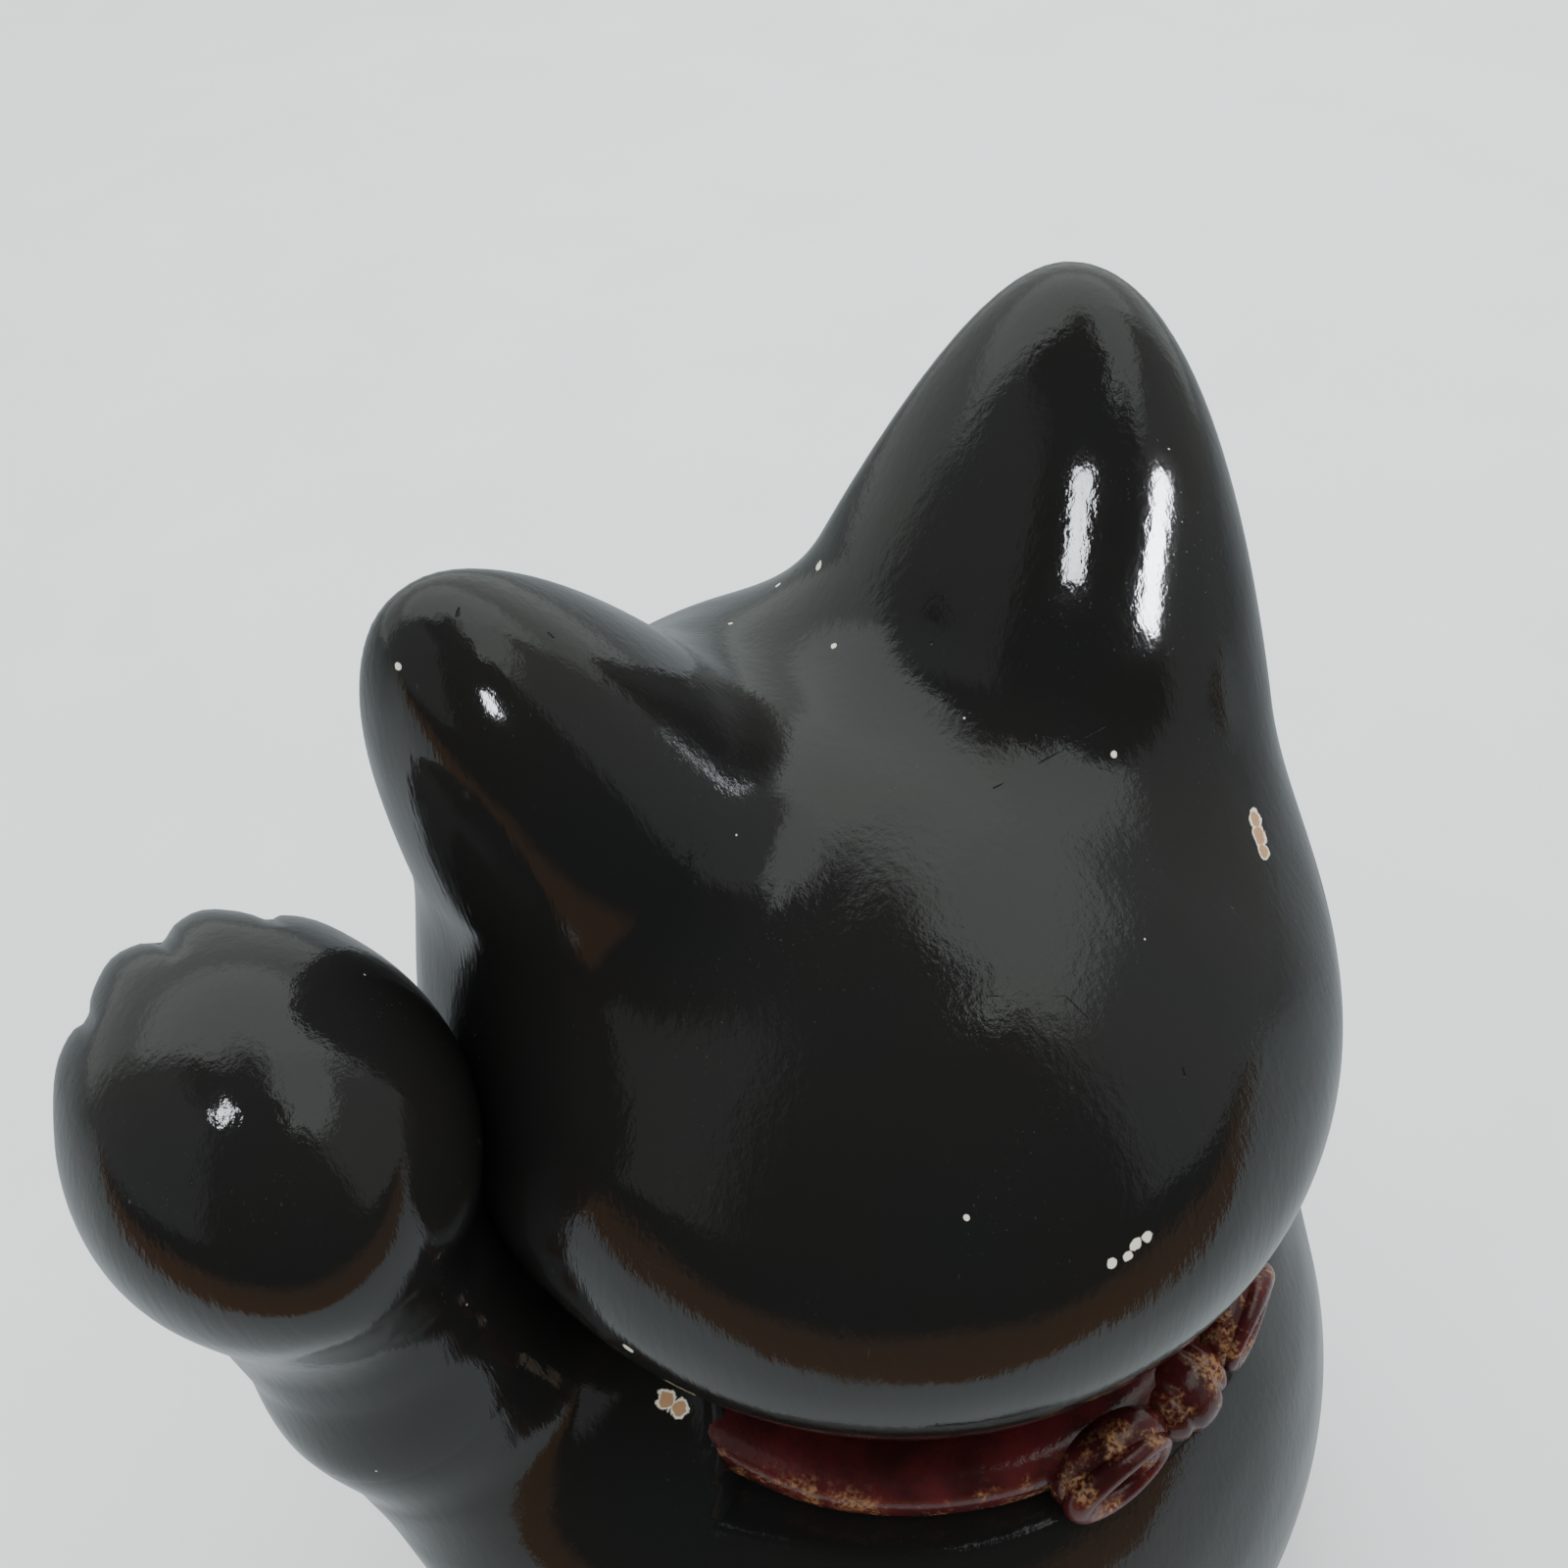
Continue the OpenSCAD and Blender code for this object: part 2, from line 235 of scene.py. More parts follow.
# World: pale to the eye and to rough surfaces; in the gloss the room's patches, and dark between them
def makeWorld():
    world = bpy.data.worlds.new("room")
    bpy.context.scene.world = world
    world.use_nodes = True
    tree = world.node_tree
    tree.nodes.clear()
    away = math.radians(camera["bearing"])
    where = addNode(tree, "TexCoord").outputs["Generated"]
    beyond = dotted(tree, where, (-math.sin(away), -math.cos(away), 0))
    side = dotted(tree, where, (-math.cos(away), math.sin(away), 0))
    rise = addNode(tree, "SeparateXYZ", Vector=where).outputs["Z"]
    frayed = addNode(tree, "TexNoise", None, Vector=where, Scale=9.0, Detail=4.0).outputs["Fac"]
    # bearing round the room: 0 straight beyond the cat, towards +pi behind the camera by the right
    turn = maths(tree, "ARCTAN2", side, beyond)
    height = maths(tree, "ARCSINE", rise)
    shaken = maths(tree, "MULTIPLY_ADD", frayed, room["fray"], -room["fray"] / 2)

    # A soft-edged window of the room: turn and height limits in degrees, edges a few degrees soft
    def patch(fromTurn, toTurn, fromHeight, toHeight, soft):
        share = None
        for value, low, high in ((turn, fromTurn, toTurn), (height, fromHeight, toHeight)):
            moved = maths(tree, "ADD", value, shaken)
            for edge, sign in ((low, 1), (high, -1)):
                ramp = eased(tree, moved, math.radians(edge - sign * soft), math.radians(edge + sign * soft))
                share = ramp if share is None else times(tree, share, ramp)
        return share

    glow = larger(tree, [times(tree, patch(*limits), strength) for limits, strength in roomPatches])
    total = maths(tree, "ADD", glow, room["darkGloss"])
    mirrored = addNode(tree, "Background", None, Color=linear(room["mirrored"]), Strength=total)
    seen = addNode(tree, "Background", None, Color=linear(room["wall"]), Strength=room["wallLight"])
    ray = addNode(tree, "LightPath")
    pick = addNode(tree, "MixShader", None, Fac=ray.outputs["Is Glossy Ray"],
                   i1=seen.outputs[0], i2=mirrored.outputs[0])
    finishTree(tree, pick, "OutputWorld")


# What the lacquer mirrors: (from turn, to turn, from height, to height, softness) in degrees, then brightness
roomPatches = [
    ((-80, 64, 26, 80, 9), 2.0),  # the ceiling and the upper wall beyond the cat
    ((-80, 64, -30, 40, 9), 1.1),  # the lower wall beyond the cat
    ((50, 128, 44, 80, 6), 1.8),  # the ceiling to the right
    ((56, 130, -30, 48, 6), 0.5),  # the right-hand wall
    ((-140, -76, -6, 56, 6), 0.35),  # the left-hand wall
    ((122, 144, 57, 67, 3), 2.2),  # a lamp's glow on the ceiling
]
makeWorld()


# Floor: a pale table top. Glossy rays see it darker, a painted shade, and past some reach on the camera's
# side they see a glowing painted reflection of a wooden floor that fades to dark
def makeFloor():
    half = room["floorHalf"]
    corners = [(-half, -half, 0), (half, -half, 0), (half, half, 0), (-half, half, 0)]
    mesh = bpy.data.meshes.new("table_top")
    mesh.from_pydata(corners, [], [(0, 1, 2, 3)])
    floor = bpy.data.objects.new("table_top", mesh)
    bpy.context.scene.collection.objects.link(floor)
    material, tree, where = newMaterial("table_top_painted_shade_and_reflection")
    mottle = addNode(tree, "TexNoise", None, Vector=where, Scale=14.0, Detail=5.0).outputs["Fac"]
    tone = mixed(tree, mottle, "#cdd1d1", "#d8dbdb")
    glossy = addNode(tree, "LightPath").outputs["Is Glossy Ray"]
    away = math.radians(camera["bearing"])
    forward = dotted(tree, where, (math.sin(away), math.cos(away), 0))
    near = mapped(tree, forward, *room["glossShadeSpan"])
    # Painted shade: glossy rays see the table top darker than the eye does, darkest beyond the cat and paler
    # towards the camera
    glossShadeTone = mixed(tree, near, "#6c7072", "#8e9294")
    tone = mixed(tree, glossy, tone, glossShadeTone)
    pale = addNode(tree, "BsdfPrincipled", None, Base_Color=tone, Roughness=0.55)
    wave = addNode(tree, "TexNoise", None, Vector=where, Scale=20.0, Detail=3.0).outputs["Fac"]
    edge = maths(tree, "MULTIPLY_ADD", wave, room["edgeWaver"], forward)
    # Painted reflection: past the reach, glossy rays see an emission of wood brown fading to near black,
    # standing in for a wooden floor and the dark room beyond
    start = room["woodReflectionReach"]
    paintedWoodShare = eased(tree, edge, start * mm, (start + room["woodSoft"]) * mm)
    reflectionDarkShare = eased(tree, edge, (start + room["woodDark"][0]) * mm, (start + room["woodDark"][1]) * mm)
    woodReflectionColour = mixed(tree, reflectionDarkShare, "#8a6038", "#0a0808")
    woodReflectionGlow = addNode(tree, "Emission", None, Color=woodReflectionColour, Strength=1.25)
    both = times(tree, paintedWoodShare, glossy)
    pick = addNode(tree, "MixShader", None, Fac=both, i1=pale.outputs[0], i2=woodReflectionGlow.outputs[0])
    finishTree(tree, pick)
    floor.data.materials.append(material)


makeFloor()


# Area light at a place, turned to a target, both in mm; its size is in mm too, and its height runs along the
# given direction. Its power gives the wanted brightness: brightness x pi x area
def makeLight(name, place, target, size, brightness, along=(0, 0, 1), spread=180):
    data = bpy.data.lights.new(name, "AREA")
    data.shape = "RECTANGLE"
    data.size = size[0] * mm
    data.size_y = size[1] * mm
    data.energy = brightness * math.pi * data.size * data.size_y
    data.color = linear("#f4f7ff")[:3]
    data.spread = math.radians(spread)
    back = np.array(place, float) - np.array(target, float)
    back /= np.linalg.norm(back)
    right = np.cross(along, back)
    right /= np.linalg.norm(right)
    lamp = placed(name, data, right, np.cross(back, right), back, place)
    lamp.visible_camera = False
    return lamp


skylight = makeLight("skylight", (-600, -500, 1500), camera["target"], (1600, 1600), room["skylight"])
skylight.visible_glossy = False

# Small strips that only the gloss shows: place, what they face, size, brightness, direction of their height
glints = [
    ((-43, 34.5, 263.5), (-39.2, 19.4, 255.6), (6.5, 28), 22, (18, 12, -17)),
    ((-22.5, 21, 271.5), (-31.2, 12, 259), (5.5, 21), 7, (11, 8.5, -15.6)),
    ((58.9, 8.2, 273.6), (51, -5.8, 265.5), (4, 7), 9, (0, 0, 1)),
    ((106.8, 3, 249.8), (98.3, 1.2, 234.1), (6, 4), 5, (0, 1, 0)),
]
for k, glint in enumerate(glints):
    strip = makeLight("glint_%d" % (k + 1), *glint, spread=75)
    strip.visible_diffuse = False
print("room lit")


# Shape rules, in mm: each is below 0 inside its shape and above 0 outside

# The smaller of two rules, eased over the width k where they are close
def blended(a, b, k):
    return np.minimum(a, b) - np.maximum(k - np.abs(a - b), 0) ** 2 / (4 * k)


# The larger of two rules, eased over the width k where they are close
def trimmed(a, b, k):
    return -blended(-a, -b, k)


# Ellipsoid: how far the scaled distance is from 1, over its slope
def ellipsoid(p, centre, radii):
    q = p - np.array(centre, float)
    r = np.array(radii, float)
    near = np.linalg.norm(q / r, axis=-1)
    slope = np.linalg.norm(q / r ** 2, axis=-1)
    return near * (near - 1) / np.maximum(slope, 1e-6)


# Round-ended limb: distance from the line a to b less the radius, which runs from ra to rb
def limb(p, a, b, ra, rb):
    a = np.array(a, float)
    along = np.array(b, float) - a
    t = np.clip((p - a) @ along / (along @ along), 0, 1)
    return np.linalg.norm(p - a - t[..., None] * along, axis=-1) - ra - t * (rb - ra)


# Vectors over their lengths
def unit(v):
    v = np.array(v, float)
    return v / np.maximum(np.linalg.norm(v, axis=-1, keepdims=True), 1e-9)


head = {
    "centre": (0, 0, 178),
    "radii": (73, 77, 59),
    "muzzle": (0, -67, 161),
    "muzzleRadii": (25, 15, 17),
    "muzzleBlend": 16,
    "leftTip": (53, -18, earTipZ - 6),
    "leftLean": (0.39, 0.05, 1),
    "leftSpread": (15, 27),
    "rightTip": (-54, -13, earTipZ),
    "rightLean": (-0.27, -0.11, 1),
    "rightSpread": (21, 30),
    "earBlend": 10,
    "earReach": 92,
    "earFront": (-38, 245),
    "earSlope": 0.36,
    "neckRadius": 52,
    "frontBlend": 8,
    "scoop": 4.5,  # mm that the ears' fronts are scooped
    "scoopWide": 0.62,  # share of the ear's half width
    "scoopSharp": 1.2,
    "scoopAt": 38,  # mm below the tip
    "scoopLong": 26,
    "neckReach": 40,  # mm that the neck runs up into the skull
    "neckBlend": 7,
    "inset": 0.5,  # the skin stays this much inside the CAD one
}
# Low mounds that only the looks have: middle, half sizes and how softly each runs into the skull
cheek = ((10, -75, 158), (11, 8, 9), 5)
eyeMound = ((27, -64, 184), (14, 9, 11), 6)
noseBall = ((0, -80.5, 167.5), (5.2, 4, 3.6), 2)


# Ear: a blunt cone along its lean, as wide at each depth as the root of that depth times its spread,
# flattened and scooped a little in front
def ear(p, tip, lean, spread):
    w = unit(lean)
    u = unit(np.cross([0, 1, 0], w))
    v = np.cross(w, u)
    q = p - np.array(tip, float)
    a, b, depth = q @ u, q @ v, -(q @ w)
    slope = np.sqrt(1 + (2 * a / spread[0]) ** 2 + (2 * b / spread[1]) ** 2)
    cone = (a * a / spread[0] + b * b / spread[1] - depth) / slope
    front = (head["earFront"][0] - head["earSlope"] * (head["earFront"][1] - p[..., 2]) - p[..., 1])
    front = front / math.hypot(1, head["earSlope"])
    across = a / (head["scoopWide"] * np.sqrt(spread[0] * np.maximum(depth, 4)))
    down = (depth - head["scoopAt"]) / head["scoopLong"]
    scoop = head["scoop"] * np.exp(-head["scoopSharp"] * across ** 2 - down ** 2)
    return np.maximum(trimmed(cone, front + scoop, head["frontBlend"]), depth - head["earReach"])


# Outer skin of the head: the skull's ellipsoid eased into muzzle, cheeks, eye mounds, nose and ears
def headRule(p):
    skull = ellipsoid(p, head["centre"], head["radii"])
    d = blended(skull, ellipsoid(p, head["muzzle"], head["muzzleRadii"]), head["muzzleBlend"])
    q = np.concatenate([np.abs(p[..., :1]), p[..., 1:]], -1)
    for place, (middle, radii, softness) in ((q, cheek), (q, eyeMound), (p, noseBall)):
        d = blended(d, ellipsoid(place, middle, radii), softness)
    d = blended(d, ear(p, head["leftTip"], head["leftLean"], head["leftSpread"]), head["earBlend"])
    d = blended(d, ear(p, head["rightTip"], head["rightLean"], head["rightSpread"]), head["earBlend"])
    return d + head["inset"]


# Head with its neck, an upright cylinder eased into it and trimmed flat just above the neck's seam
def headAndNeck(p):
    out = np.hypot(p[..., 0], p[..., 1] - collarMiddle[1]) - head["neckRadius"] + head["inset"]
    neck = np.maximum(out, p[..., 2] - neckZ - head["neckReach"])
    return trimmed(blended(headRule(p), neck, head["neckBlend"]), neckZ + 0.1 - p[..., 2], 1.5)


body = {
    "centre": (0, 13, 51),
    "radii": (88, 78, 103),
    "middle": (0, 8, 58),
    "shoulder": (56, 3, 89),
    "shoulderRadii": (35, 35, 32),
    "chest": (0, -20, 97),
    "chestRadii": (38, 38, 34),
    "haunch": (56, -14, 36),
    "haunchRadii": (38, 52, 38),
    "blend": 20,
    "inset": 0.5,
}


# Torso with its shoulders, chest and haunches
def torsoRule(p):
    q = np.concatenate([np.abs(p[..., :1]), p[..., 1:]], -1)
    d = ellipsoid(p, body["centre"], body["radii"])
    d = blended(d, ellipsoid(q, body["shoulder"], body["shoulderRadii"]), body["blend"])
    d = blended(d, ellipsoid(p, body["chest"], body["chestRadii"]), body["blend"])
    return blended(d, ellipsoid(q, body["haunch"], body["haunchRadii"]), body["blend"]) + body["inset"]


# Torso trimmed flat above the plate and below the neck's seam
def bodyRule(p):
    d = trimmed(torsoRule(p), plateTop + 0.15 - p[..., 2], 1.6)
    return trimmed(d, p[..., 2] - neckZ + 0.1, 1.6)


arm = {
    "points": ((75, -6, 87), (89, -12, 146), (93, -14, 200)),
    "radii": (28, 22, 23),
    "blend": 8,
    "paw": (93, -14, 210),
    "pawRadii": (25, 32, 27),
    "pawBlend": 16,
    "shoulderBlend": 22,
    "middle": (88, -12, 150),
    "toeWidth": 13.0,  # mm between the creases
    "toeSwell": 0.7,  # mm that a toe stands out
    "creaseDepth": 2.0,
    "creaseWidth": 1.2,
    "toesFront": (9, 16),  # mm before the paw's middle at which the toes begin, and over which they grow
    "toesLow": (14, 12),  # the same for mm below it
    "toeSpan": 1.6,  # toes to each side of the middle that have creases
    "inset": 0.8,
}


# Raised foreleg: upper arm, forearm and the big rounded paw; down its front run three creases, with slight
# swells between them that follow a cosine across the paw
def armRule(p):
    a, b, c = arm["points"]
    ra, rb, rc = arm["radii"]
    d = blended(limb(p, a, b, ra, rb), limb(p, b, c, rb, rc), arm["blend"])
    d = blended(d, ellipsoid(p, arm["paw"], arm["pawRadii"]), arm["pawBlend"])
    q = p - np.array(arm["paw"], float)
    (front, frontSoft), (below, lowSoft) = arm["toesFront"], arm["toesLow"]
    share = np.clip((-q[..., 1] - front) / frontSoft, 0, 1) * np.clip((q[..., 2] + below) / lowSoft, 0, 1)
    across = q[..., 0] / arm["toeWidth"]
    nearest = (across - np.round(across)) * arm["toeWidth"]
    inner = np.clip((arm["toeSpan"] - np.abs(across)) / 0.2, 0, 1)
    crease = arm["creaseDepth"] * inner * np.exp(-(nearest / arm["creaseWidth"]) ** 2)
    d = d + share * (crease + arm["toeSwell"] * np.cos(2 * math.pi * across))
    return d + arm["inset"]


# Raised foreleg with the fillet that runs it into the shoulder, on which its chips lie
def armAndShoulder(p):
    return blended(armRule(p), torsoRule(p), arm["shoulderBlend"])


leg = {
    "top": (-28, -50, 96),
    "bottom": (-25, -72, 22),
    "radii": (17, 15),
    "paw": (-24, -80, 13),
    "pawRadii": (17, 21, 14),
    "middle": (-27, -62, 55),
}


# Paw that stands on the table: an ellipsoid with three toe creases pressed into its front
def standingPaw(p, centre, radii):
    d = ellipsoid(p, centre, radii)
    q = p - np.array(centre, float)
    share = np.clip(-q[..., 1] / radii[1], 0, 1)
    for x in (-0.42, 0, 0.42):
        crease = np.exp(-((q[..., 0] - x * radii[0]) / 1.3) ** 2)
        d = d + 1.5 * crease * share ** 2
    return d


# Standing foreleg: a straight limb run into its paw
def legRule(p):
    d = limb(p, leg["top"], leg["bottom"], *leg["radii"])
    d = blended(d, standingPaw(p, leg["paw"], leg["pawRadii"]), 8) + 0.15
    return trimmed(d, 0.1 - p[..., 2], 2)


hindPaw = {"centre": (47, -66, 13), "radii": (19, 26, 15)}


# Hind paw on the side s, 1 for the left and -1 for the right: a standing paw trimmed flat above the plate
def hindPawRule(s):
    centre = (s * hindPaw["centre"][0],) + hindPaw["centre"][1:]

    def rule(p):
        return trimmed(standingPaw(p, centre, hindPaw["radii"]) + 0.15, plateTop + 0.15 - p[..., 2], 1.2)
    return rule


tailShape = {"root": (-8, 84, 21), "bend": (16, 90, 20), "tip": (42, 82, 27), "radii": (14, 12.5, 11)}


# Tail: two limbs eased into one curl
def tailRule(p):
    r = tailShape["radii"]
    d = limb(p, tailShape["root"], tailShape["bend"], r[0], r[1])
    d = blended(d, limb(p, tailShape["bend"], tailShape["tip"], r[1], r[2]), 8) + 0.15
    return trimmed(d, 0.1 - p[..., 2], 2)


fineness = 1.0     # coarser skins while trying things

# Six square grids wrapped round a ball, welded: unit directions and faces; tangent spacing evens the squares
def cubeGrid(n):
    t = np.tan(np.linspace(-math.pi / 4, math.pi / 4, n + 1))
    a, b = np.meshgrid(t, t, indexing="ij")
    one = np.ones_like(a)
    grids = [(one, a, b), (-one, b, a), (b, one, a), (a, -one, b), (a, b, one), (b, a, -one)]
    points = np.concatenate([np.stack(grid, -1).reshape(-1, 3) for grid in grids])
    i = np.arange(n * (n + 1)).reshape(n, n + 1)[:, :n].ravel()
    quad = np.stack([i, i + n + 1, i + n + 2, i + 1], -1)
    quads = np.concatenate([quad + k * (n + 1) ** 2 for k in range(6)])
    key = np.round(points, 6)
    unique, index = np.unique(key, axis=0, return_inverse=True)
    return unit(unique), index.ravel()[quads]


# Distance along each ray at which the rule first turns positive: even steps out, then halving
def firstCrossing(rule, start, direction, far, steps=28, halvings=16):
    near = np.zeros(len(start))
    end = np.full(len(start), float(far))
    open_ = np.ones(len(start), bool)
    for k in range(1, steps + 1):
        t = far * k / steps
        idx = np.flatnonzero(open_)
        inside = rule(start[idx] + direction[idx] * t) < 0
        near[idx[inside]] = t
        end[idx[~inside]] = t
        open_[idx[~inside]] = False
    for _ in range(halvings):
        half = (near + end) / 2
        inside = rule(start + direction * half[:, None]) < 0
        near = np.where(inside, half, near)
        end = np.where(inside, end, half)
    return (near + end) / 2


# Slope of a rule by differences over a fifth of a millimetre
def slopeOf(rule, p, step=0.2):
    return np.stack([(rule(p + step * e) - rule(p - step * e)) / (2 * step) for e in np.eye(3)], -1)


# Evens out a skin: each point moves 0.6 of the way to its neighbours' mean, along the skin and back onto it
def relaxed(rule, p, quads, rounds):
    pairs = np.concatenate([quads[:, [k, (k + 1) % 4]] for k in range(4)])
    edges = np.unique(np.sort(pairs, axis=1), axis=0)
    one, other = edges.T
    count = np.bincount(edges.ravel(), minlength=len(p))[:, None]
    for _ in range(rounds):
        total = np.stack([
            np.bincount(one, p[other, k], len(p)) + np.bincount(other, p[one, k], len(p))
            for k in range(3)
        ], -1)
        g = slopeOf(rule, p)
        n = unit(g)
        shift = 0.6 * (total / count - p)
        p = p + shift - (shift * n).sum(-1, keepdims=True) * n
        p = p - np.clip(rule(p), -1, 1)[:, None] * n / np.maximum(np.linalg.norm(g, axis=-1), 0.3)[:, None]
    return p


# Smooth mesh from points in mm and faces, riding on a body, in place of the CAD node that is named
def makePiece(name, points, faces, material, node=None, body="cat", normals=None):
    mesh = bpy.data.meshes.new(name)
    places = np.asarray(points, float) * mm
    if isinstance(faces, list):
        mesh.from_pydata(places.tolist(), [], faces)
    else:
        mesh.vertices.add(len(places))
        mesh.vertices.foreach_set("co", places.astype(np.float32).ravel())
        mesh.loops.add(faces.size)
        mesh.loops.foreach_set("vertex_index", faces.astype(np.int32).ravel())
        mesh.polygons.add(len(faces))
        mesh.polygons.foreach_set("loop_start", np.arange(0, faces.size, faces.shape[1], dtype=np.int32))
    mesh.update(calc_edges=True)
    mesh.validate()
    mesh.polygons.foreach_set("use_smooth", np.ones(len(mesh.polygons), bool))
    if normals is not None:
        mesh.normals_split_custom_set_from_vertices(normals.tolist())
    mesh.materials.append(material)
    piece = bpy.data.objects.new(name, mesh)
    bpy.context.scene.collection.objects.link(piece)
    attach(piece, body)
    if node:
        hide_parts(node)


# Skin of a rule by rays from its middle, evened out
def raySkin(rule, middle, far, n, rounds):
    directions, quads = cubeGrid(round(n * fineness))
    start = np.tile(np.array(middle, float), (len(directions), 1))
    points = start + directions * firstCrossing(rule, start, directions, far)[:, None]
    return relaxed(rule, points, quads, rounds), quads


# The same with its normals
def ballSkin(rule, middle, far, n, rounds):
    points, quads = raySkin(rule, middle, far, n, rounds)
    return points, quads, unit(slopeOf(rule, points))


# Skin of a limb that runs into a host: the limb's own skin grows outwards along its slope until it meets
# the eased join of the two, no further than the join reaches
def joinedSkin(own, host, k, middle, far, n, rounds, lowest):
    def whole(p):
        a, b = own(p), host(p)
        return trimmed(np.maximum(blended(a, b, k) + 0.012, a - 0.985 * k), lowest - p[..., 2], 1.2)
    points, quads = raySkin(own, middle, far, n, rounds // 2)
    out = unit(slopeOf(own, points))
    inner = points - 0.05 * out
    points = inner + out * firstCrossing(whole, inner, out, k + 2, 24)[:, None]
    points = relaxed(whole, points, quads, rounds)
    return points, quads, unit(slopeOf(whole, points, 0.05))


lacquer = {
    "colour": "#161718",
    "warmColour": "#191715",
    "roughness": (0.06, 0.15),
    "ior": 1.5,
    "ridgeSize": 1.3,  # mm between the marks that the brush left
    "ridgeHeight": 0.008,  # mm
    "swellSize": 26.0,  # mm, the slow hills of a hand-smoothed casting
    "swellHeight": 0.10,  # mm
    "clay": "#a5805c",
    "primer": "#c9c3b4",
    "dust": "#b9bab8",
}

# Wear on the head: middle and radius in mm, then whether it goes to the clay or only to the pale primer
headChips = [
    ((-39.3, 41.8, 219.6), 1.1, "clay"), ((-38.5, 43.4, 218.1), 1.3, "clay"),
    ((-37.7, 45.1, 216.7), 1.0, "clay"), ((68.2, 27.1, 173.6), 0.9, "primer"),
    ((12.0, 71.1, 199.5), 0.8, "primer"), ((13.9, 70.8, 199.3), 0.9, "primer"),
    ((15.4, 71.0, 198.3), 0.7, "primer"), ((17.7, 70.4, 198.2), 0.8, "primer"),
    ((-14.8, -26.9, 239.0), 0.8, "primer"), ((-12.8, -35.1, 231.6), 0.5, "primer"),
    ((-1.6, -33.0, 231.6), 0.4, "primer"), ((-5.4, -11.8, 237.7), 0.5, "primer"),
    ((57.0, -15.2, 268.0), 0.5, "primer"), ((-21.8, 28.7, 234.2), 0.5, "primer"),
    ((31.6, 57.4, 208.4), 0.4, "primer"),
]
armChips = [((60.1, 17.2, 130.4), 1.3, "clay"), ((59.3, 19.4, 129.9), 1.2, "clay")]

# Scratches: a line from one point to the next, and its width in mm
headScratches = [
    ((-5, 22.5, 234.5), (-14, 23.7, 235), 0.22), ((-14, 23.7, 235), (-22.7, 26, 237), 0.22),
    ((15, 43, 225.7), (6.4, 48.5, 223.8), 0.16), ((6.4, 48.5, 223.8), (5.5, 52, 221.6), 0.16),
    ((49.4, -13.2, 272.4), (48.6, -13.9, 272.9), 0.5), ((40.6, -9.4, 266.6), (39.8, -8.4, 267.1), 0.5),
    ((-2.6, 61.8, 213.6), (-2.4, 62.4, 213.1), 0.5), ((-12.8, 64.8, 208.8), (-11.9, 65.4, 208.2), 0.4),
    ((63, 26, 200), (61.5, 36, 195.5), 0.12), ((64, 28, 196), (62, 33, 196.5), 0.1),
]


# Nearest point of a skin to each named point: steps down the rule's slope
def onSkin(rule, points):
    p = np.array(points, float)
    for _ in range(12):
        g = slopeOf(rule, p)
        p = p - np.clip(rule(p), -2, 2)[:, None] * g / np.maximum((g * g).sum(-1, keepdims=True), 0.1)
    return p


# How much a point lies within a radius of a middle; the edge frays with the noise
def spotMask(tree, where, fray, middle, radius):
    away = vectorMaths(tree, "DISTANCE", where, tuple(v * mm for v in middle), "Value")
    rough = maths(tree, "MULTIPLY_ADD", fray, -1.1 * radius * mm, away)
    return mapped(tree, rough, 0.55 * radius * mm, 0.42 * radius * mm)


# How much a point lies within a width of the line from a to b
def lineMask(tree, where, fray, a, b, width):
    a = np.array(a) * mm
    along = np.array(b) * mm - a
    q = vectorMaths(tree, "SUBTRACT", where, tuple(a))
    t = dotted(tree, q, tuple(along / (along @ along)))
    t = addNode(tree, "Math", {"operation": "ADD", "use_clamp": True}, i0=t, i1=0.0).outputs[0]
    foot = addNode(tree, "VectorMath", {"operation": "SCALE"}, i0=tuple(along), Scale=t).outputs[0]
    off = vectorMaths(tree, "DISTANCE", q, foot, "Value")
    rough = maths(tree, "MULTIPLY_ADD", fray, 1.2 * width * mm, off)
    return mapped(tree, rough, 1.1 * width * mm, 0.8 * width * mm)


